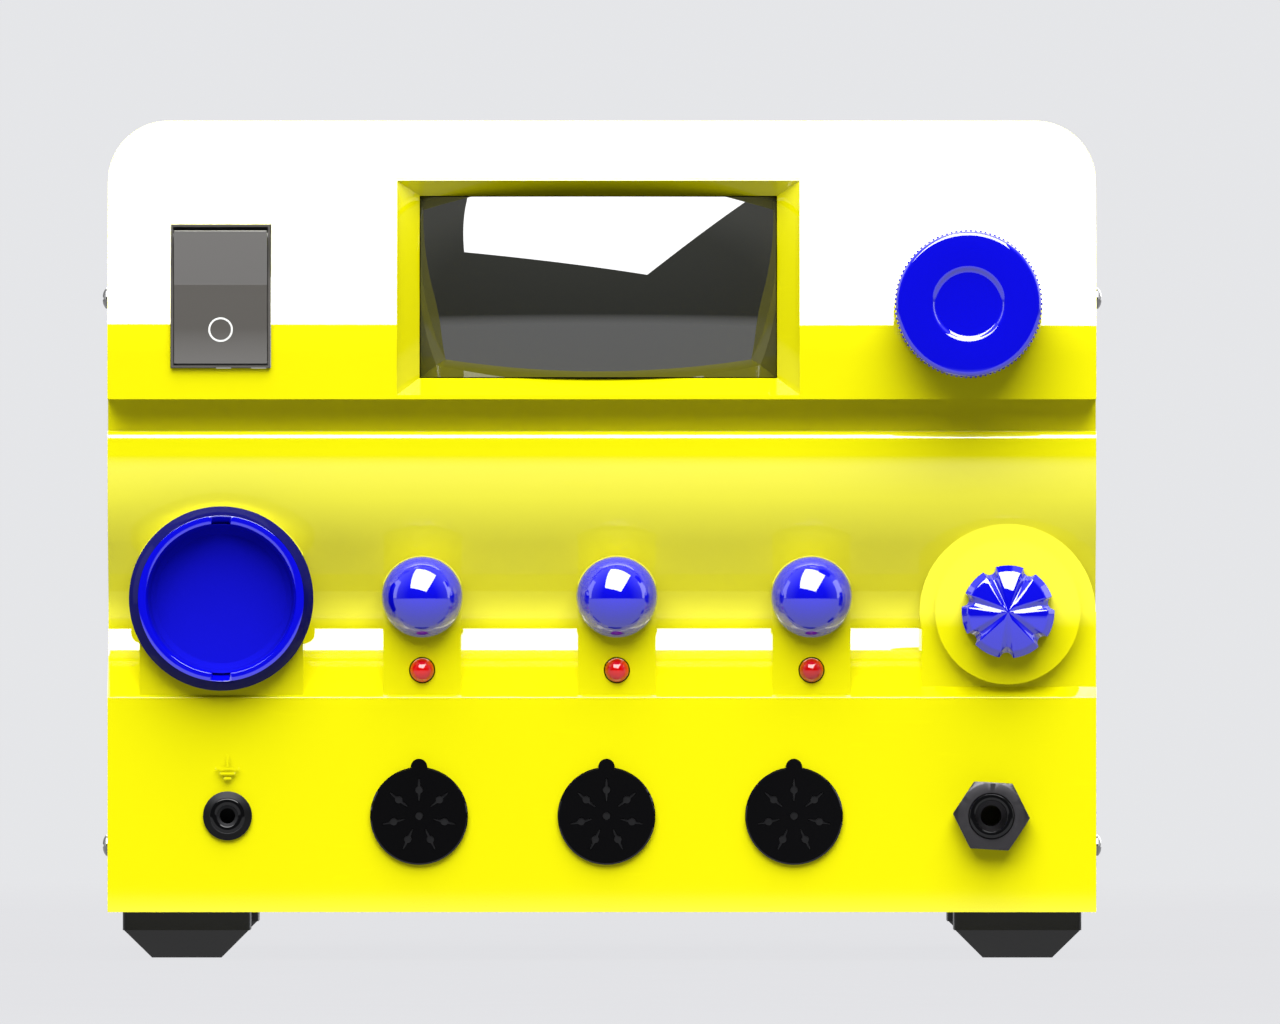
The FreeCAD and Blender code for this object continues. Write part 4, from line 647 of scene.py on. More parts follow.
def prism(outline: Profile, low: float, high: float, chamfer: float = 0.0) -> bmesh.types.BMesh:
    """Upright prism on a convex outline, with a chamfer round its upper edge.

    Args:
        outline: Its outline.
        low: Height of its underside.
        high: Height of its upper side.
        chamfer: Size of the chamfer.

    Returns:
        The mesh.
    """
    reach = max(math.hypot(*point) for point in outline)
    inner = (reach - chamfer) / reach
    levels = [(1.0, low), (1.0, high - chamfer)] + ([(inner, high)] if chamfer else [])
    rings = [[Vector((point[0] * factor, point[1] * factor, level)) for point in outline] for factor, level in levels]
    return lofted(rings)


def merged(meshes: Sequence[bmesh.types.BMesh]) -> bmesh.types.BMesh:
    """One mesh of several."""
    whole = bmesh.new()
    for part in meshes:
        scratch = bpy.data.meshes.new("scratch")
        part.to_mesh(scratch)
        part.free()
        whole.from_mesh(scratch)
        bpy.data.meshes.remove(scratch)
    return whole


def moved(mesh: bmesh.types.BMesh, centre: Sequence[float], facing: Facing = Facing.UP) -> bmesh.types.BMesh:
    """Turns a mesh to its facing and sets it down at a point."""
    mesh.transform(Matrix.Translation(Vector(centre)) @ facing.matrix())
    return mesh


def publish(
    name: str,
    mesh: bmesh.types.BMesh,
    finish: Finish,
    slot: Slot,
    body: str = "root",
    stands_for: Sequence[str] = (),
    sharp: float = 32.0,
) -> None:
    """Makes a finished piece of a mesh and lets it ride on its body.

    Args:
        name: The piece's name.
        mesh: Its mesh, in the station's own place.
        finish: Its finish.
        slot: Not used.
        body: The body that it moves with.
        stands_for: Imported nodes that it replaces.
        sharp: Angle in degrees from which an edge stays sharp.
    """
    bmesh.ops.remove_doubles(mesh, verts=mesh.verts, dist=1e-7)
    bmesh.ops.recalc_face_normals(mesh, faces=mesh.faces)
    data = bpy.data.meshes.new(name)
    mesh.to_mesh(data)
    mesh.free()
    piece = bpy.data.objects.new(name, data)
    bpy.context.scene.collection.objects.link(piece)
    data.shade_smooth()
    data.set_sharp_from_angle(angle=math.radians(sharp))
    data.materials.append(finish.material())
    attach(piece, body)
    if stands_for:
        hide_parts(*stands_for)
    LOG.info("%s: %d faces on %s", name, len(data.polygons), body)


def dress(finish: Finish, *nodes: str) -> None:
    """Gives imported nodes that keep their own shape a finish.

    Args:
        finish: The finish.
        nodes: The nodes.
    """
    for node in nodes:
        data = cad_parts[node].data
        data.materials.clear()
        data.materials.append(finish.material())
        LOG.info("%s keeps its shape in %s", node, finish.name)


def middle(node: str) -> Vector:
    """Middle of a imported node's box."""
    low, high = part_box(node)
    return (low + high) / 2


# ---------------------------------------------------------------- repeats


class Repeater:
    """Geometry Nodes trees that lay copies of a mesh out in a ring or in a row."""

    def __init__(self, name: str, **sizes: str) -> None:
        """Starts a tree.

        Args:
            name: Its name.
            sizes: Its sizes' names, and "Int" or "Float" for each.
        """
        self.tree = bpy.data.node_groups.new(name, "GeometryNodeTree")
        self.tree.interface.new_socket("Geometry", in_out="OUTPUT", socket_type="NodeSocketGeometry")
        for label, kind in {"Geometry": "Geometry", **sizes, "Finish": "Material"}.items():
            self.tree.interface.new_socket(label, in_out="INPUT", socket_type=f"NodeSocket{kind}")
        self.inlet = self.tree.nodes.new("NodeGroupInput")

    def node(self, kind: str, settings: dict[str, object], links: dict[int | str, object]) -> bpy.types.Node:
        """Adds a node.

        Args:
            kind: The node's type.
            settings: Its settings.
            links: Its sockets' values, or the output sockets that feed them.

        Returns:
            The node.
        """
        node = self.tree.nodes.new(kind)
        for key, value in settings.items():
            setattr(node, key, value)
        for key, value in links.items():
            if isinstance(value, bpy.types.NodeSocket):
                self.tree.links.new(value, node.inputs[key])
            else:
                node.inputs[key].default_value = value
        return node

    def close(self, geometry: bpy.types.NodeSocket) -> None:
        """Ends the tree in Realize Instances and Set Material."""
        real = self.node("GeometryNodeRealizeInstances", {}, {"Geometry": geometry})
        dressed = self.node("GeometryNodeSetMaterial", {}, {
            "Geometry": real.outputs[0], "Material": self.inlet.outputs["Finish"]})
        outlet = self.tree.nodes.new("NodeGroupOutput")
        self.tree.links.new(dressed.outputs[0], outlet.inputs["Geometry"])

    @classmethod
    def ring(cls) -> "Repeater":
        """Copies round +Z, each turned to face outwards from the axis."""
        made = cls("lay_in_ring", Count="Int", Radius="Float", Start="Float")
        sizes = made.inlet.outputs
        step = made.node("ShaderNodeMath", {"operation": "DIVIDE"}, {0: math.tau, 1: sizes["Count"]})
        index = made.node("GeometryNodeInputIndex", {}, {})
        angle = made.node("ShaderNodeMath", {"operation": "MULTIPLY_ADD"}, {
            0: index.outputs[0], 1: step.outputs[0], 2: sizes["Start"]})
        across = made.node("ShaderNodeMath", {"operation": "COSINE"}, {0: angle.outputs[0]})
        along = made.node("ShaderNodeMath", {"operation": "SINE"}, {0: angle.outputs[0]})
        unit = made.node("ShaderNodeCombineXYZ", {}, {"X": across.outputs[0], "Y": along.outputs[0]})
        place = made.node("ShaderNodeVectorMath", {"operation": "SCALE"}, {
            0: unit.outputs[0], "Scale": sizes["Radius"]})
        points = made.node("GeometryNodePoints", {}, {"Count": sizes["Count"], "Position": place.outputs[0]})
        turn = made.node("ShaderNodeCombineXYZ", {}, {"Z": angle.outputs[0]})
        laid = made.node("GeometryNodeInstanceOnPoints", {}, {
            "Points": points.outputs[0], "Instance": sizes["Geometry"], "Rotation": turn.outputs[0]})
        made.close(laid.outputs[0])
        return made

    @classmethod
    def grid(cls) -> "Repeater":
        """Copies in rows and columns, centred on the origin of the XY plane."""
        made = cls("lay_in_grid", Columns="Int", Rows="Int", Width="Float", Depth="Float")
        sizes = made.inlet.outputs
        points = made.node("GeometryNodeMeshGrid", {}, {
            "Size X": sizes["Width"], "Size Y": sizes["Depth"],
            "Vertices X": sizes["Columns"], "Vertices Y": sizes["Rows"]})
        laid = made.node("GeometryNodeInstanceOnPoints", {}, {
            "Points": points.outputs[0], "Instance": sizes["Geometry"]})
        made.close(laid.outputs[0])
        return made

    @classmethod
    def hoops(cls) -> "Repeater":
        """Concentric round-wire hoops about +Z."""
        made = cls("wind_hoops", Count="Int", Inner="Float", Pitch="Float", Wire="Float")
        sizes = made.inlet.outputs
        points = made.node("GeometryNodePoints", {}, {"Count": sizes["Count"]})
        index = made.node("GeometryNodeInputIndex", {}, {})
        reach = made.node("ShaderNodeMath", {"operation": "MULTIPLY_ADD"}, {
            0: index.outputs[0], 1: sizes["Pitch"], 2: sizes["Inner"]})
        hoop = made.node("GeometryNodeCurvePrimitiveCircle", {}, {"Resolution": 96, "Radius": 1.0})
        laid = made.node("GeometryNodeInstanceOnPoints", {}, {
            "Points": points.outputs[0], "Instance": hoop.outputs[0], "Scale": reach.outputs[0]})
        real = made.node("GeometryNodeRealizeInstances", {}, {"Geometry": laid.outputs[0]})
        section = made.node("GeometryNodeCurvePrimitiveCircle", {}, {"Resolution": 10, "Radius": sizes["Wire"]})
        wire = made.node("GeometryNodeCurveToMesh", {}, {
            "Curve": real.outputs[0], "Profile Curve": section.outputs[0]})
        made.close(wire.outputs[0])
        return made

    def lay(self, item: bmesh.types.BMesh, finish: Finish, sizes: dict[str, float | int]) -> bmesh.types.BMesh:
        """Runs the tree on a mesh.

        Args:
            item: The mesh that is repeated.
            finish: The finish of the result.
            sizes: The tree's sizes by name.

        Returns:
            The plain mesh of all the copies.
        """
        data = bpy.data.meshes.new("item")
        item.to_mesh(data)
        item.free()
        holder = bpy.data.objects.new("item", data)
        bpy.context.scene.collection.objects.link(holder)
        modifier = holder.modifiers.new(self.tree.name, "NODES")
        modifier.node_group = self.tree
        for entry in self.tree.interface.items_tree:
            if entry.in_out == "INPUT" and entry.name in sizes:
                modifier[entry.identifier] = sizes[entry.name]
            if entry.in_out == "INPUT" and entry.name == "Finish":
                modifier[entry.identifier] = finish.material()
        evaluated = holder.evaluated_get(bpy.context.evaluated_depsgraph_get())
        result = bpy.data.meshes.new_from_object(evaluated)
        holder.modifiers.remove(modifier)
        mesh = bmesh.new()
        mesh.from_mesh(result)
        bpy.data.objects.remove(holder)
        bpy.data.meshes.remove(data)
        bpy.data.meshes.remove(result)
        return mesh


@dataclass
class Tools:
    """The Geometry Nodes trees that the sub-assemblies share."""

    ring: Repeater = field(default_factory=Repeater.ring)
    grid: Repeater = field(default_factory=Repeater.grid)
    hoops: Repeater = field(default_factory=Repeater.hoops)


# ---------------------------------------------------------------- studio


@dataclass
class Studio:
    """Pale floor, one large softbox over the front, weaker fills behind and a level long-lens camera."""

    lens: float = 1000.0
    sensor: float = 36.0
    frame_wide: float = 248.5 * MM
    aim: tuple[float, float] = (7.4 * MM, 87.0 * MM)
    backdrop: Colour = (0.785, 0.792, 0.812)
    floor_tone: Colour = (0.745, 0.748, 0.772)
    floor_reach: float = 1.5
    room_towards: tuple[tuple[float, float], ...] = ((-0.75, 0.35), (0.03, 0.55))
    room_upward: tuple[tuple[float, float], ...] = ((0.05, 0.55), (1.0, 1.9))
    far: float = 4.0

    def camera(self) -> None:
        """Sets the camera level before the panel."""
        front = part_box("lower_front_panel")[0].y
        data = bpy.data.cameras.new("camera")
        data.lens, data.sensor_width = self.lens, self.sensor
        data.clip_start, data.clip_end = 0.1, 60.0
        camera = bpy.data.objects.new("camera", data)
        distance = self.frame_wide * self.lens / self.sensor
        camera.location = (self.aim[0], front - distance, self.aim[1])
        camera.rotation_euler = (math.pi / 2, 0.0, 0.0)
        bpy.context.scene.collection.objects.link(camera)
        bpy.context.scene.camera = camera
        bpy.context.scene.view_settings.view_transform = "Standard"

    def softbox(self, name: str, centre: Vector, across: Vector, size: tuple[float, float], radiance: float) -> None:
        """Hangs a rectangular light that looks at the station.

        Args:
            name: Its name.
            centre: Its middle.
            across: Direction of its width.
            size: Its width and height.
            radiance: Its brightness.
        """
        data = bpy.data.lights.new(name, "AREA")
        data.shape = "RECTANGLE"
        data.size, data.size_y = size
        data.energy = radiance * math.pi * size[0] * size[1]
        light = bpy.data.objects.new(name, data)
        outward = (centre - Vector((0, 0, 80 * MM))).normalized()
        side = (across - outward * across.dot(outward)).normalized()
        up = outward.cross(side)
        turn = Matrix((side, up, outward)).transposed().to_4x4()
        light.matrix_world = Matrix.Translation(centre) @ turn
        light.visible_camera = False
        bpy.context.scene.collection.objects.link(light)

    def lights(self) -> None:
        """The softbox over the front, the pale panel overhead and the fills at the sides and behind."""
        for name, centre, across, (wide, tall), radiance in (
            ("key", (0.0, -0.61, 0.79), (0.943, -0.233, -0.238), (0.97, 1.22), 9.4),
            ("overhead", (0.0, 0.50, 0.87), (1, 0, 0), (1.5, 0.9), 1.5),
            ("right", (0.95, 0.1, 0.3), (0, 1, 0), (0.7, 0.7), 1.6),
            ("left", (-0.95, 0.1, 0.3), (0, -1, 0), (0.7, 0.7), 1.2),
            ("back", (0.3, 0.85, 0.42), (-1, 0, 0), (1.1, 0.8), 3.4),
        ):
            self.softbox(name, Vector(centre) * self.far, Vector(across), (wide * self.far, tall * self.far), radiance)

    def world(self) -> None:
        """Pale to the camera; to the station a dim room, darkest behind the camera."""
        world = bpy.data.worlds.new("studio")
        bpy.context.scene.world = world
        shader = Shader(world)
        where = shader.node("ShaderNodeTexCoord", {}, {}, "Generated")
        towards, upward = (
            shader.node("ShaderNodeMapRange", {}, {
                "Value": where.channel(axis), "From Min": start, "From Max": end, "To Min": low, "To Max": high})
            for axis, (start, end), (low, high) in (("Y", *self.room_towards), ("Z", *self.room_upward)))
        room = shader.node("ShaderNodeBackground", {}, {"Strength": towards * upward})
        pale = shader.node("ShaderNodeBackground", {}, {"Color": (*self.backdrop, 1.0)})
        seen = shader.node("ShaderNodeLightPath", {}, {}, "Is Camera Ray")
        shader.close(shader.node("ShaderNodeMixShader", {}, {0: seen, 1: room, 2: pale}), "ShaderNodeOutputWorld")

    def floor(self) -> None:
        """Round pale floor that fades into the backdrop at its edge."""
        mesh = bmesh.new()
        bmesh.ops.create_circle(mesh, cap_ends=True, segments=128, radius=self.floor_reach)
        data = bpy.data.meshes.new("floor")
        mesh.to_mesh(data)
        mesh.free()
        floor = bpy.data.objects.new("floor", data)
        bpy.context.scene.collection.objects.link(floor)
        shader = Shader(bpy.data.materials.new("pale_floor"))
        where = shader.place()
        reach = shader.node("ShaderNodeVectorMath", {"operation": "LENGTH"}, {0: where}, "Value")
        fade = 1 - reach.above(self.floor_reach * 0.7, self.floor_reach * 0.4)
        speck = shader.noise(where, 40, 4)
        low, high = (tuple(value * factor for value in self.floor_tone) for factor in (0.99, 1.01))
        data.materials.append(shader.finish({
            "Base Color": (0.006, 0.006, 0.006, 1.0),
            "Emission Color": shader.blend(speck, low, high),
            "Emission Strength": 1.0,
            "Specular IOR Level": 0.0,
            "Roughness": 0.7,
            "Alpha": fade,
            "Normal": shader.bump(speck, 0.02, MM),
        }))

    def build(self) -> None:
        """Sets the studio up."""
        self.camera()
        self.lights()
        self.world()
        self.floor()


# ---------------------------------------------------------------- sub-assemblies


@dataclass
class Screws:
    """Pan-head machine screws with a cross recess, laid out in rows and columns."""

    tools: Tools
    head: float = 2.05 * MM
    tall: float = 1.5 * MM
    seated: float = 1.55 * MM
    recess: float = 0.7 * MM
    arm: float = 0.44 * MM
    reach: float = 1.2 * MM

    def item(self) -> bmesh.types.BMesh:
        """One head."""
        def height(share: float, turn: float) -> float:
            """Dome of the head, less the cross."""
            across, along = share * self.head * abs(math.cos(turn)), share * self.head * abs(math.sin(turn))
            crown = self.tall * (1 - 0.45 * share**3)
            sunk = min(across, along) < self.arm / 2 and max(across, along) < self.reach
            return crown - (self.recess if sunk else 0.0)

        return relief_disc(lambda turn: self.head, height, 0.0, rings=9, steps=48)

    def field(self, centre: Vector, facing: Facing, spread: tuple[float, float]) -> bmesh.types.BMesh:
        """Four screws at the corners of a rectangle.

        Args:
            centre: Middle of the rectangle, on the surface.
            facing: Way that the heads point.
            spread: Distances between the screws.

        Returns:
            The mesh of all the heads.
        """
        sizes = {"Columns": 2, "Rows": 2, "Width": spread[0], "Depth": spread[1]}
        return moved(self.tools.grid.lay(self.item(), SCREW_STEEL, sizes), centre, facing)

    def build(self) -> None:
        """Screws on both sides of the cover."""
        low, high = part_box("cover_screws")
        wide, tall = high.y - low.y - 2 * self.head, high.z - low.z - 2 * self.head
        centre = middle("cover_screws")
        sides = [self.field(Vector((x, centre.y, centre.z)), facing, (wide, tall))
                 for x, facing in ((low.x + self.seated, Facing.LEFT), (high.x - self.seated, Facing.RIGHT))]
        publish("cover_screw_heads", merged(sides), SCREW_STEEL, Slot.STEEL, stands_for=("cover_screws",))


@dataclass
class Housing:
    """Front mouldings, bezel, sheet-metal case, feet and the raised earth mark."""

    mark: tuple[float, float] = (-72.7 * MM, 36.9 * MM)
    mark_wide: float = 4.6 * MM
    mark_line: float = 0.42 * MM
    mark_proud: float = 0.18 * MM

    def earth_mark(self) -> None:
        """Three shortening bars under an upright, raised on the panel above the grounding jack."""
        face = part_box("lower_front_panel")[0].y
        line = self.mark_line / 2
        bars = [(0.0, 1.7 * MM, line, 1.3 * MM)]
        bars += [(0.0, 0.3 * MM - step * 0.95 * MM, self.mark_wide / 2 * (1 - step * 0.34), line) for step in range(3)]
        solids = []
        for x, y, half_wide, half_tall in bars:
            outline = [(-half_wide, -half_tall), (half_wide, -half_tall), (half_wide, half_tall),
                       (-half_wide, half_tall)]
            bar = prism(eased(outline, 0.12 * MM, 3, closed=True), -0.3 * MM, self.mark_proud, 0.06 * MM)
            solids.append(moved(bar, (self.mark[0] + x, face, self.mark[1] + y), Facing.FRONT))
        publish("earth_mark", merged(solids), PANEL_YELLOW, Slot.YELLOW)

    def build(self) -> None:
        """Dresses the case."""
        dress(PANEL_YELLOW, "lower_front_panel", "upper_front_panel", "display_bezel")
        dress(COVER_YELLOW, "top_cover")
        dress(TRAY_GREY, "base_tray", "rear_panel", "front_bulkhead")
        dress(FOOT_RUBBER, "rubber_feet")
        self.earth_mark()


@dataclass
class DisplayWindow:
    """Crowned smoked window of the display."""

    crest_height: float = 127.8 * MM
    crest_depth: float = 3.0 * MM
    crown: float = 43.6 * MM
    bow: float = 90 * MM
    wall: float = 0.8 * MM
    columns: int = 64
    rows: int = 40

    def build(self) -> None:
        """Lofts the window from side to side."""
        low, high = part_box("display_window")
        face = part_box("lower_front_panel")[0].y
        half = (high.x - low.x) / 2
        centre = (high.x + low.x) / 2
        heights = [low.z + (high.z - low.z) * row / self.rows for row in range(self.rows + 1)]
        rings = []
        for column in range(self.columns + 1):
            x = -half + 2 * half * column / self.columns
            bow = self.bow - math.sqrt(self.bow**2 - x**2)
            front = [Vector((centre + x, face + self.crest_depth + bow + self.crown
                             - math.sqrt(self.crown**2 - (height - self.crest_height) ** 2), height))
                     for height in heights]
            rings.append(front + [point + Vector((0, self.wall, 0)) for point in front[::-4]])
        publish("display_window_crown", lofted(rings), WINDOW_SMOKE, Slot.WINDOW,
                stands_for=("display_window",), sharp=50)


@dataclass
class MainsSwitch:
    """Rocker with its off ring."""

    rim: float = 0.45 * MM
    gap: float = 0.15 * MM
    tall: float = 27.8 * MM
    ring_height: float = 122.4 * MM
    ring_radius: float = 2.2 * MM
    ring_line: float = 0.36 * MM
    ridge: float = 2.3 * MM
    sunk: float = 0.2 * MM

    def build(self) -> None:
        """Builds the rocker and prints its ring on the lower face."""
        low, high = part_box("rocker_button")
        half = self.tall / 2 - self.rim - self.gap * 2
        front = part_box("rocker_housing")[0].y
        centre = middle("rocker_housing")
        corners = [(-half, -self.sunk), (self.ridge, -self.sunk), (half - 0.42 * MM, 2.56 * MM),
                   (half - 1.6 * MM, -3 * MM), (5 * MM, -9 * MM), (-5 * MM, -9 * MM), (-half + 0.6 * MM, -5 * MM)]
        section = eased(corners, 0.25 * MM, 4, closed=True)
        wide = (high.x - low.x) / 2
        rings = []
        for x, inset in ((-wide, 0.14 * MM), (-wide + 0.06 * MM, 0.04 * MM), (-wide + 0.16 * MM, 0.0),
                         (wide - 0.16 * MM, 0.0), (wide - 0.06 * MM, 0.04 * MM), (wide, 0.14 * MM)):
            factor = 1 - inset / half
            rings.append([Vector((centre.x + x, front - out * factor, centre.z + up * factor))
                          for up, out in section])
        publish("rocker_cap", lofted(rings), SWITCH_GREY, Slot.SWITCH, "rocker", ("rocker_button",), sharp=40)
        inner, outer = self.ring_radius - self.ring_line / 2, self.ring_radius + self.ring_line / 2
        ring = turned([(inner, -0.1 * MM), (outer, -0.1 * MM), (outer, 0.03 * MM), (inner, 0.03 * MM)], 72)
        publish("off_ring", moved(ring, (centre.x, front + self.sunk, self.ring_height), Facing.FRONT), PRINT_WHITE,
                Slot.SWITCH, "rocker")
        dress(SWITCH_GREY, "rocker_housing")


@dataclass
class Dial:
    """Adjustment dial: dimpled face, rounded edge and a knurled rim."""

    tools: Tools
    ribs: int = 94
    rib_proud: float = 0.28 * MM
    rib_wide: float = 0.5 * MM
    edge: float = 0.9 * MM
    dimple: float = 6.8 * MM
    bore: float = 3.0 * MM
    wall: float = 3.0 * MM

    def build(self) -> None:
        """Turns the dial and lays its ribs round it."""
        low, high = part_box("adjust_dial")
        radius = (high.x - low.x) / 2
        long = high.y - low.y
        rim = radius - self.rib_proud
        centre = (middle("adjust_dial").x, high.y, middle("adjust_dial").z)
        blind = long - self.wall
        face = eased([(rim - self.edge, long), (self.dimple + 0.25 * MM, long),
                      (self.dimple - 0.35 * MM, long - 0.55 * MM), (0, long - 0.6 * MM)], 0.35 * MM, 5)
        body = turned([(0, blind), (self.bore, blind), (self.bore, 0), (rim, 0),
                       *arc((rim - self.edge, long - self.edge), self.edge, 0, 90, 7), *face[1:]], 188)
        proud, half = self.rib_proud, self.rib_wide / 2
        rib_outline = [(-proud, -half), (proud * 0.5, -half), (proud, -half / 3), (proud, half / 3),
                       (proud * 0.5, half), (-proud, half)]
        rib = prism(rib_outline, 0.35 * MM, long - self.edge - 0.25 * MM, 0.12 * MM)
        ribs = self.tools.ring.lay(rib, KNOB_BLUE, {"Count": self.ribs, "Radius": rim, "Start": 0.0})
        publish("dial_knob", moved(body, centre, Facing.FRONT), KNOB_BLUE, Slot.BLUE, "dial", ("adjust_dial",), 40)
        publish("dial_ribs", moved(ribs, centre, Facing.FRONT), KNOB_BLUE, Slot.BLUE, "dial")


@dataclass
class ChannelButtons:
    """Domed channel buttons and the red lamps under them."""

    skirt: float = 0.5 * MM
    stem: float = 5.2 * MM
    nib: float = 2.0 * MM
    flange: float = 1.3 * MM
    lens_long: float = 8.0 * MM
    lead: float = 0.3 * MM
    lead_pitch: float = 2.54 * MM

    def button(self, number: int) -> None:
        """One domed button on its stem."""
        node = f"channel_button_{number}"
        low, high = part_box(node)
        radius = (high.x - low.x) / 2
        long = high.y - low.y
        head = long - radius
        stem, nib, flange = self.stem, self.nib, self.flange
        profile = [(0, 0), (nib, 0), (nib, flange), (stem + flange, flange), (stem + flange, flange * 2),
                   (stem, flange * 2), (stem, head - self.skirt), (radius - self.skirt, head - self.skirt),
                   (radius - self.skirt * 0.15, head - self.skirt * 0.6), *arc((0, head), radius, 0, 90, 30)]
        profile[-1] = (0.0, long)
        place = (middle(node).x, high.y, middle(node).z)
        publish(f"channel_dome_{number}", moved(turned(profile, 128), place, Facing.FRONT), KNOB_BLUE, Slot.BLUE,
                f"button_{number}", (node,), 50)

    def lamps(self) -> None:
        """Three lens caps on one row."""
        low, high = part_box("channel_lamps")
        radius = (high.z - low.z) / 2
        pitch = (high.x - low.x - 2 * radius) / 2
        front = low.y
        lenses = []
        wire = [(self.lead * math.cos(turn), self.lead * math.sin(turn))
                for turn in (math.tau * index / 8 for index in range(8))]
        for step in range(3):
            profile = [(0, -self.lens_long), (radius, -self.lens_long), (radius, -radius),
                       *arc((0, -radius), radius, 0, 90, 18)[1:]]
            profile[-1] = (0.0, 0.0)
            x, z = low.x + radius + pitch * step, middle("channel_lamps").z
            lenses.append(moved(turned(profile, 64), (x, front, z), Facing.FRONT))
            lenses += [moved(prism(wire, front - high.y, -self.lens_long),
                             (x + side * self.lead_pitch / 2, front, z), Facing.FRONT) for side in (-1, 1)]
        publish("lamp_lenses", merged(lenses), LAMP_RED, Slot.RED, stands_for=("channel_lamps",), sharp=50)

    def build(self) -> None:
        """Builds the buttons and the lamps."""
        for number in (1, 2, 3):
            self.button(number)
        self.lamps()


@dataclass
class VacuumFilter:
    """Filter cap with its dish, flat ring and two thumb notches, and the glass case behind it."""

    ring: float = 16.1 * MM
    dish: float = 14.6 * MM
    deep: float = 6.6 * MM
    notch_half: float = 1.6 * MM
    notch_deep: float = 0.9 * MM
    spigot: float = 9.94 * MM
    back: float = 5.3 * MM
    step: float = 1.6 * MM
    shoulder: float = 1.2 * MM
    shade_liner: float = 0.12 * MM

    def build(self) -> None:
        """Turns the cap and sinks its notches, then lays a darker blue cup in its dish as painted shade and puts a
        dark navy band round it as painted shade of its side wall.
        """
        low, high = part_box("filter_cap")
        radius = (high.x - low.x) / 2
        proud = high.y - low.y
        floor = proud - self.deep
        spigot, back, step = self.spigot, self.back, self.step
        seat = self.ring - 0.2 * MM
        ledge = floor + self.shoulder
        corners = [(0, 0), (spigot - step, 0), (spigot - step, step), (spigot, step), (spigot, back),
                   (seat, back), (seat, proud - self.shoulder), (self.ring, proud - 1.0 * MM), (self.ring, proud),
                   (self.dish, proud), (self.dish - 0.8 * MM, ledge), (self.dish - 2 * MM, floor), (0, floor)]
        cap = turned(eased(corners, 0.06 * MM, 2), 240)
        for vert in cap.verts:
            across, along = vert.co.x, vert.co.y
            reach = math.hypot(across, along)
            inside = abs(across) < self.notch_half and self.dish - 0.9 * MM < reach < self.dish + 0.4 * MM
            if inside and vert.co.z > proud - 1.7 * MM:
                vert.co.x, vert.co.y = (value * (self.dish + self.notch_deep) / reach for value in (across, along))
                vert.co.z = min(vert.co.z, proud - 0.5 * MM)
        place = (middle("filter_cap").x, high.y, middle("filter_cap").z)
        publish("filter_cap_dish", moved(cap, place, Facing.FRONT), KNOB_BLUE, Slot.BLUE, "filter_lid",
                ("filter_cap",), 28)
        # Painted shade: a thin darker blue cup laid in the dish stands in for the shade of the deep dish.
        wall, start, inside = self.shade_liner, proud - 1.75 * MM, self.dish - 0.1 * MM
        shade_cup = [(0, floor - wall), (self.dish - 2 * MM, floor - wall), (self.dish - 0.75 * MM, ledge - wall),
               (inside, start), (inside - wall, start), (self.dish - 0.8 * MM - wall, ledge),
               (self.dish - 2.05 * MM, floor + wall), (0, floor + wall)]
        publish("filter_cap_shade_liner", moved(turned(eased(shade_cup, 0.05 * MM, 2), 180), place, Facing.FRONT), DISH_SHADE_BLUE,
                Slot.BLUE, "filter_lid", sharp=28)
        # Painted shade: the outer band is a separate dark navy piece that stands in for the shade of the cap's steep
        # side wall.
        shaded_rim = [(seat, back), (radius, back), (radius, proud - 3 * MM), (self.ring + 0.03 * MM, proud - 0.04 * MM),
                (self.ring, proud - 0.3 * MM), (seat, proud - 1.0 * MM)]
        publish("filter_cap_shaded_rim", moved(turned(eased(shaded_rim, 0.04 * MM, 2, closed=True), 180), place, Facing.FRONT),
                RIM_SHADE_NAVY, Slot.BLUE, "filter_lid", sharp=28)


@dataclass
class AirValve:
    """Lobed knob of the air valve, with a crease from each notch to the middle."""

    lobes: int = 7
    notch: float = 1.3 * MM
    notch_centre: float = 9.2 * MM
    phase: float = math.radians(-92)
    dome: float = 1.5 * MM
    chamfer: float = 1.25 * MM
    crease: float = 0.75 * MM
    tall: float = 7.9 * MM
    spindle: float = 3.0 * MM
    spindle_long: float = 24 * MM

    def build(self) -> None:
        """Shapes the knob as a relief on a lobed outline."""
        low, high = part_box("air_valve_knob")
        radius = (high.x - low.x) / 2
        tall = self.tall
        step = math.tau / self.lobes

        def off_notch(turn: float) -> float:
            """Angle to the nearest notch."""
            return (turn - self.phase + step / 2) % step - step / 2

        def edge(turn: float) -> float:
            """Outline: a circle with round notches."""
            off = off_notch(turn)
            reach = self.notch**2 - (self.notch_centre * math.sin(off)) ** 2
            if reach <= 0 or abs(off) > 0.5:
                return radius
            return min(radius, self.notch_centre * math.cos(off) - math.sqrt(reach))

        def height(share: float, turn: float) -> float:
            """Shallow dome with creases and a rim chamfer."""
            reach = share * radius
            width = 0.16 * radius * (0.35 + 0.65 * share)
            off = abs(off_notch(turn)) * reach
            cut = self.crease * share * max(0.0, 1 - off / width) if share else 0.0
            rim = max(0.0, reach - (radius - self.chamfer)) * 0.75
            return tall - self.dome * share**2 - cut - rim

        knob = relief_disc(edge, height, 0.0, rings=34, steps=self.lobes * 48)
        overlap = 0.1 * MM
        stem = turned([(0, -self.spindle_long), (self.spindle, -self.spindle_long), (self.spindle, overlap),
                       (0, overlap)], 32)
        place = (middle("air_valve_knob").x, low.y + tall, middle("air_valve_knob").z)
        publish("valve_knob_lobes", moved(merged([knob, stem]), place, Facing.FRONT), KNOB_BLUE, Slot.BLUE,
                "valve_knob", ("air_valve_knob",), 22)


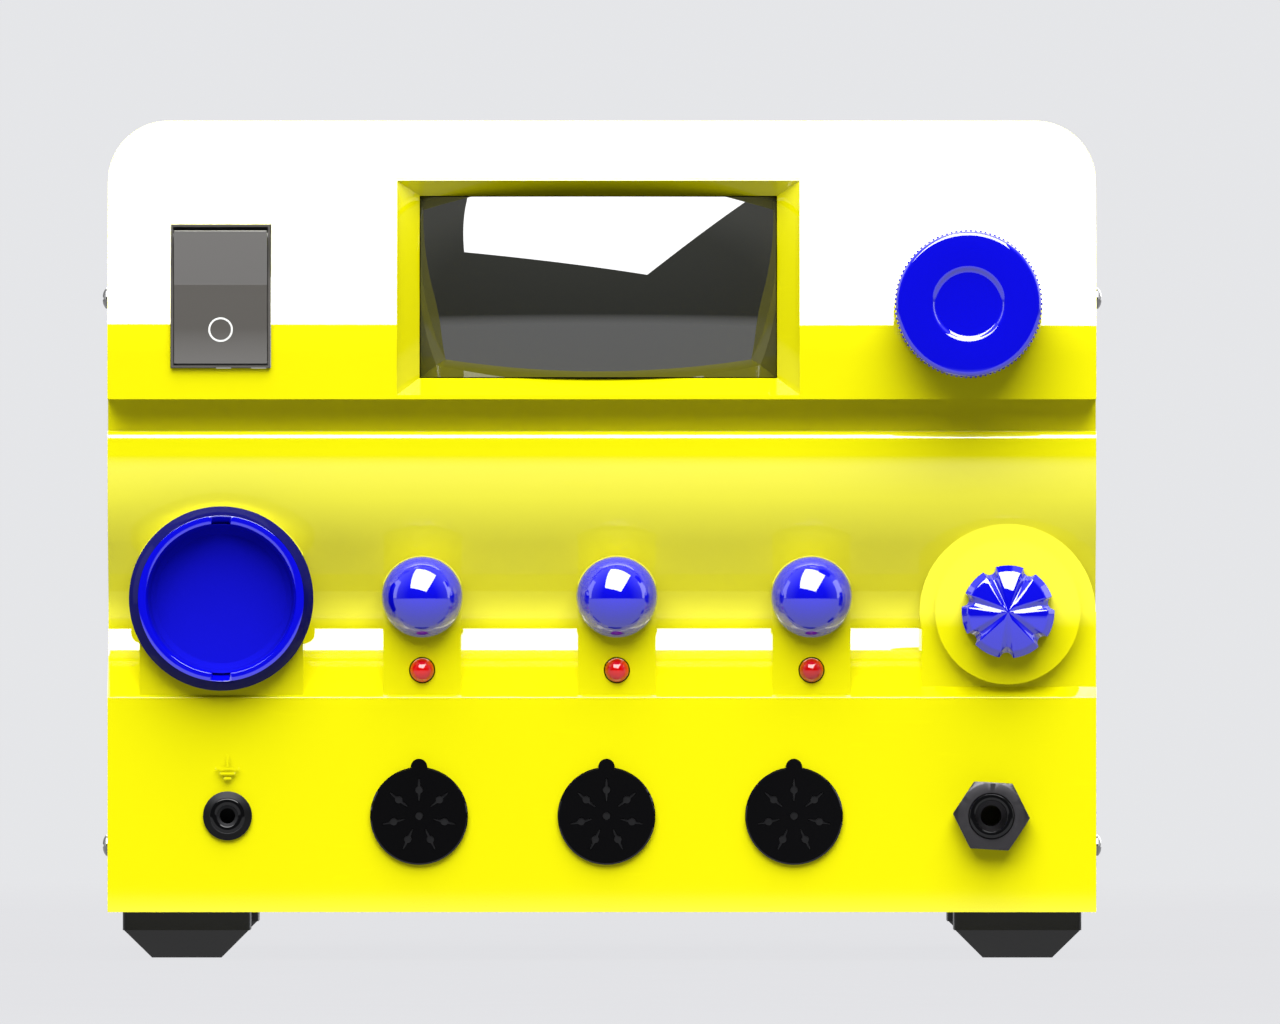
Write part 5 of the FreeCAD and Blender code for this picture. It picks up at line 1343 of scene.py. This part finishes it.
@dataclass
class Connectors:
    """Handpiece sockets with their contacts, the grounding jack and the air outlet."""

    tools: Tools
    contact_circle: float = 5.05 * MM
    contact_sunk: float = 0.3 * MM
    flats: float = 13.0 * MM
    hexagon_turn: float = math.radians(-3.5)
    outlet_seat: float = 8.4 * MM
    ring_bore: float = 3.05 * MM
    air_bore: float = 2.0 * MM

    def contact(self) -> bmesh.types.BMesh:
        """One spring contact seen from its mating side: a round eye between two tapered tails."""
        eye = 0.74 * MM
        tail, narrow, wide = 2.15 * MM, 0.1 * MM, 0.26 * MM
        right = [(math.sqrt(eye**2 - wide**2), -wide), (tail, -narrow), (tail, narrow),
                 (math.sqrt(eye**2 - wide**2), wide)]
        top = arc((0, 0), eye, 25, 155, 8)
        left = [(-x, -y) for x, y in right]
        bottom = [(-x, -y) for x, y in top]
        return prism([*right, *top, *left, *bottom], -0.6 * MM, 0.0)

    def sockets(self) -> None:
        """Three black sockets and their eight contacts each."""
        wholes = []
        for number in (1, 2, 3):
            node = f"handpiece_socket_{number}"
            dress(SOCKET_BLACK, node)
            low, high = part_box(node)
            centre = (middle(node).x, low.y + self.contact_sunk, low.z + (high.x - low.x) / 2)
            ring = self.tools.ring.lay(self.contact(), CONTACT_DARK, {
                "Count": 7, "Radius": self.contact_circle, "Start": math.pi / 2})
            single = self.contact()
            single.transform(Matrix.Rotation(math.pi / 2, 4, "Z"))
            wholes.append(moved(merged([ring, single]), centre, Facing.FRONT))
        publish("socket_contact_eyes", merged(wholes), CONTACT_DARK, Slot.CONTACT, stands_for=("socket_contacts",))

    def jack(self) -> None:
        """Grounding jack with its black insulating ring."""
        dress(CONTACT_DARK, "ground_jack")
        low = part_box("ground_jack")[0]
        profile = [(radius * MM, out * MM) for radius, out in (
            (2.1, -0.6), (3.35, -0.6), (3.35, -0.02), (3.15, 0.04), (2.3, 0.04), (2.1, -0.02))]
        centre = (middle("ground_jack").x, low.y, middle("ground_jack").z)
        publish("jack_insulator", moved(turned(profile, 64), centre, Facing.FRONT), SOCKET_BLACK, Slot.BLACK)

    def outlet(self) -> None:
        """Hexagonal air fitting and its release ring."""
        low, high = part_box("air_outlet_fitting")
        ring_low, ring_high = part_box("outlet_release_ring")
        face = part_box("lower_front_panel")[0].y
        tall = face - low.y
        steps = 120
        turns = [math.tau * index / steps for index in range(steps)]

        def hexagon(turn: float) -> float:
            """Radius of the hexagon at an angle."""
            off = (turn - self.hexagon_turn) % (math.pi / 3) - math.pi / 6
            return self.flats / 2 / math.cos(off)

        def ring(radius: Callable[[float], float], out: float) -> list[Vector]:
            """Ring of points at a height."""
            return [Vector((radius(turn) * math.cos(turn), radius(turn) * math.sin(turn), out)) for turn in turns]

        def circle(radius: float) -> Callable[[float], float]:
            """Constant radius."""
            return lambda turn: radius

        crown = self.flats / 2
        rows = [ring(circle(4.9 * MM), face - high.y), ring(circle(4.9 * MM), 0), ring(hexagon, 0)]
        rows += [ring(lambda turn, cut=cut: min(hexagon(turn), crown + cut), tall - cut * 0.55)
                 for cut in (1.0 * MM, 0.7 * MM, 0.4 * MM, 0.15 * MM)]
        seat = tall - self.outlet_seat - 0.9 * MM
        rows += [ring(circle(radius), out) for radius, out in (
            (crown - 0.15 * MM, tall), (4.5 * MM, tall), (4.36 * MM, tall - 0.2 * MM), (4.36 * MM, -3.2 * MM),
            (self.ring_bore, -3.2 * MM), (self.ring_bore, seat), (self.air_bore, seat),
            (self.air_bore, face - high.y))]
        fitting = lofted([*rows, rows[0]], (False, False))
        centre = Vector((middle("outlet_release_ring").x, face, middle("outlet_release_ring").z))
        publish("air_outlet_hexagon", moved(fitting, centre, Facing.FRONT), FITTING_GREY, Slot.GREY_METAL,
                stands_for=("air_outlet_fitting",), sharp=24)
        radius = (ring_high.x - ring_low.x) / 2
        inner_end, outer_end, neck = face - ring_high.y, face - ring_low.y, radius - 0.1 * MM
        corners = [(self.ring_bore, inner_end), (neck, inner_end), (neck, tall + 0.2 * MM), (radius, tall + 0.3 * MM),
                   (radius, outer_end), (self.ring_bore, outer_end)]
        collet = turned(eased(corners, 0.22 * MM, 3, closed=True), 72)
        publish("release_ring", moved(collet, centre, Facing.FRONT), SOCKET_BLACK, Slot.BLACK, "release_ring",
                ("outlet_release_ring",))

    def build(self) -> None:
        """Builds the connectors along the lower panel."""
        self.sockets()
        self.jack()
        self.outlet()


@dataclass
class BackPanel:
    """Fan with its round-wire guard, the mains inlet and the fuse holder."""

    tools: Tools
    wire: float = 0.8 * MM
    hoop_inner: float = 6.0 * MM
    hoop_pitch: float = 4.1 * MM
    hoops: int = 6

    def rod(self, points: Sequence[Vector], radius: float, steps: int = 10) -> bmesh.types.BMesh:
        """Round rod in the XY plane through points.

        Args:
            points: The points.
            radius: The rod's radius.
            steps: Points round it.

        Returns:
            The mesh.
        """
        rings = []
        for index, point in enumerate(points):
            ahead = points[min(index + 1, len(points) - 1)] - points[max(index - 1, 0)]
            side = Vector((-ahead.y, ahead.x, 0)).normalized()
            turns = [math.tau * step / steps for step in range(steps)]
            rings.append([point + side * radius * math.cos(turn) + Vector((0, 0, radius * math.sin(turn)))
                          for turn in turns])
        return lofted(rings)

    def guard(self) -> None:
        """Concentric hoops on four arms that end in screw eyes."""
        low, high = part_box("fan_guard")
        half = (high.x - low.x) / 2
        hoops = self.tools.hoops.lay(bmesh.new(), WIRE_CHROME, {
            "Count": self.hoops, "Inner": self.hoop_inner, "Pitch": self.hoop_pitch, "Wire": self.wire})
        parts = [hoops]
        eye = 2.9 * MM
        for quarter in range(4):
            turn = math.pi / 4 + math.pi / 2 * quarter
            away = Vector((math.cos(turn), math.sin(turn), 0))
            corner = Vector((half - eye - self.wire, half - eye - self.wire, 0)).length
            drop = Vector((0, 0, -1.5 * self.wire))
            reach = [away * (self.hoop_inner + (corner - eye - self.hoop_inner) * share / 6) + drop
                     for share in range(7)]
            parts.append(self.rod(reach, self.wire))
            around = [math.tau * step / 10 for step in range(10)]
            loop = turned([(eye + self.wire * math.cos(angle), self.wire * math.sin(angle)) for angle in around], 40)
            loop.transform(Matrix.Translation(away * corner + drop))
            parts.append(loop)
        centre = Vector((middle("fan_guard").x, high.y - self.wire, middle("fan_guard").z))
        publish("fan_guard_wires", moved(merged(parts), centre, Facing.BACK), WIRE_CHROME, Slot.STEEL,
                stands_for=("fan_guard",), sharp=60)

    def build(self) -> None:
        """Dresses the back panel's parts."""
        self.guard()
        dress(FRAME_BLACK, "fan_frame", "fan_rotor", "mains_inlet", "fuse_holder")
        dress(SCREW_STEEL, "fan_screws", "inlet_screws", "foot_screws")


@dataclass
class Innards:
    """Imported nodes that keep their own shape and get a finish."""

    def build(self) -> None:
        """Gives every remaining node its finish."""
        core = tuple(middle("toroid_transformer"))
        dress(WoundWire("winding_copper", (0.55, 0.20, 0.08), 0.3, centre=core), "toroid_transformer")
        dress(TUBE_GLASS, "filter_case")
        dress(FELT_WHITE, "filter_element")
        dress(FOOT_RUBBER, "filter_seal")
        dress(FITTING_GREY, "air_valve_body", "encoder_body", "pump_motor")
        dress(SCREW_STEEL, "panel_nuts", "encoder_spindle", "toroid_bolt")
        dress(PANEL_BOARD, "button_board", "display_board")
        dress(BOARD_GREEN, "main_board")
        dress(FRAME_BLACK, "display_module", "tact_switches", "triacs", "smoothing_capacitors", "pump_head",
              "solenoid_valve")
        dress(BRASS_PIN, "board_spacers", "pump_eccentric", "inlet_pins")
        dress(SINK_ALLOY, "heat_sink")
        dress(WIRE_CHROME, "toroid_clamp")
        dress(TRAY_GREY, "pump_cradle")


def main() -> None:
    """Builds the studio and every sub-assembly."""
    logging.basicConfig(level=logging.INFO, format="%(name)s: %(message)s")
    tools = Tools()
    Studio().build()
    for assembly in (Housing(), DisplayWindow(), MainsSwitch(), Dial(tools), ChannelButtons(), VacuumFilter(),
                     AirValve(), Connectors(tools), Screws(tools), BackPanel(tools), Innards()):
        assembly.build()


if __name__ == "__main__":
    main()
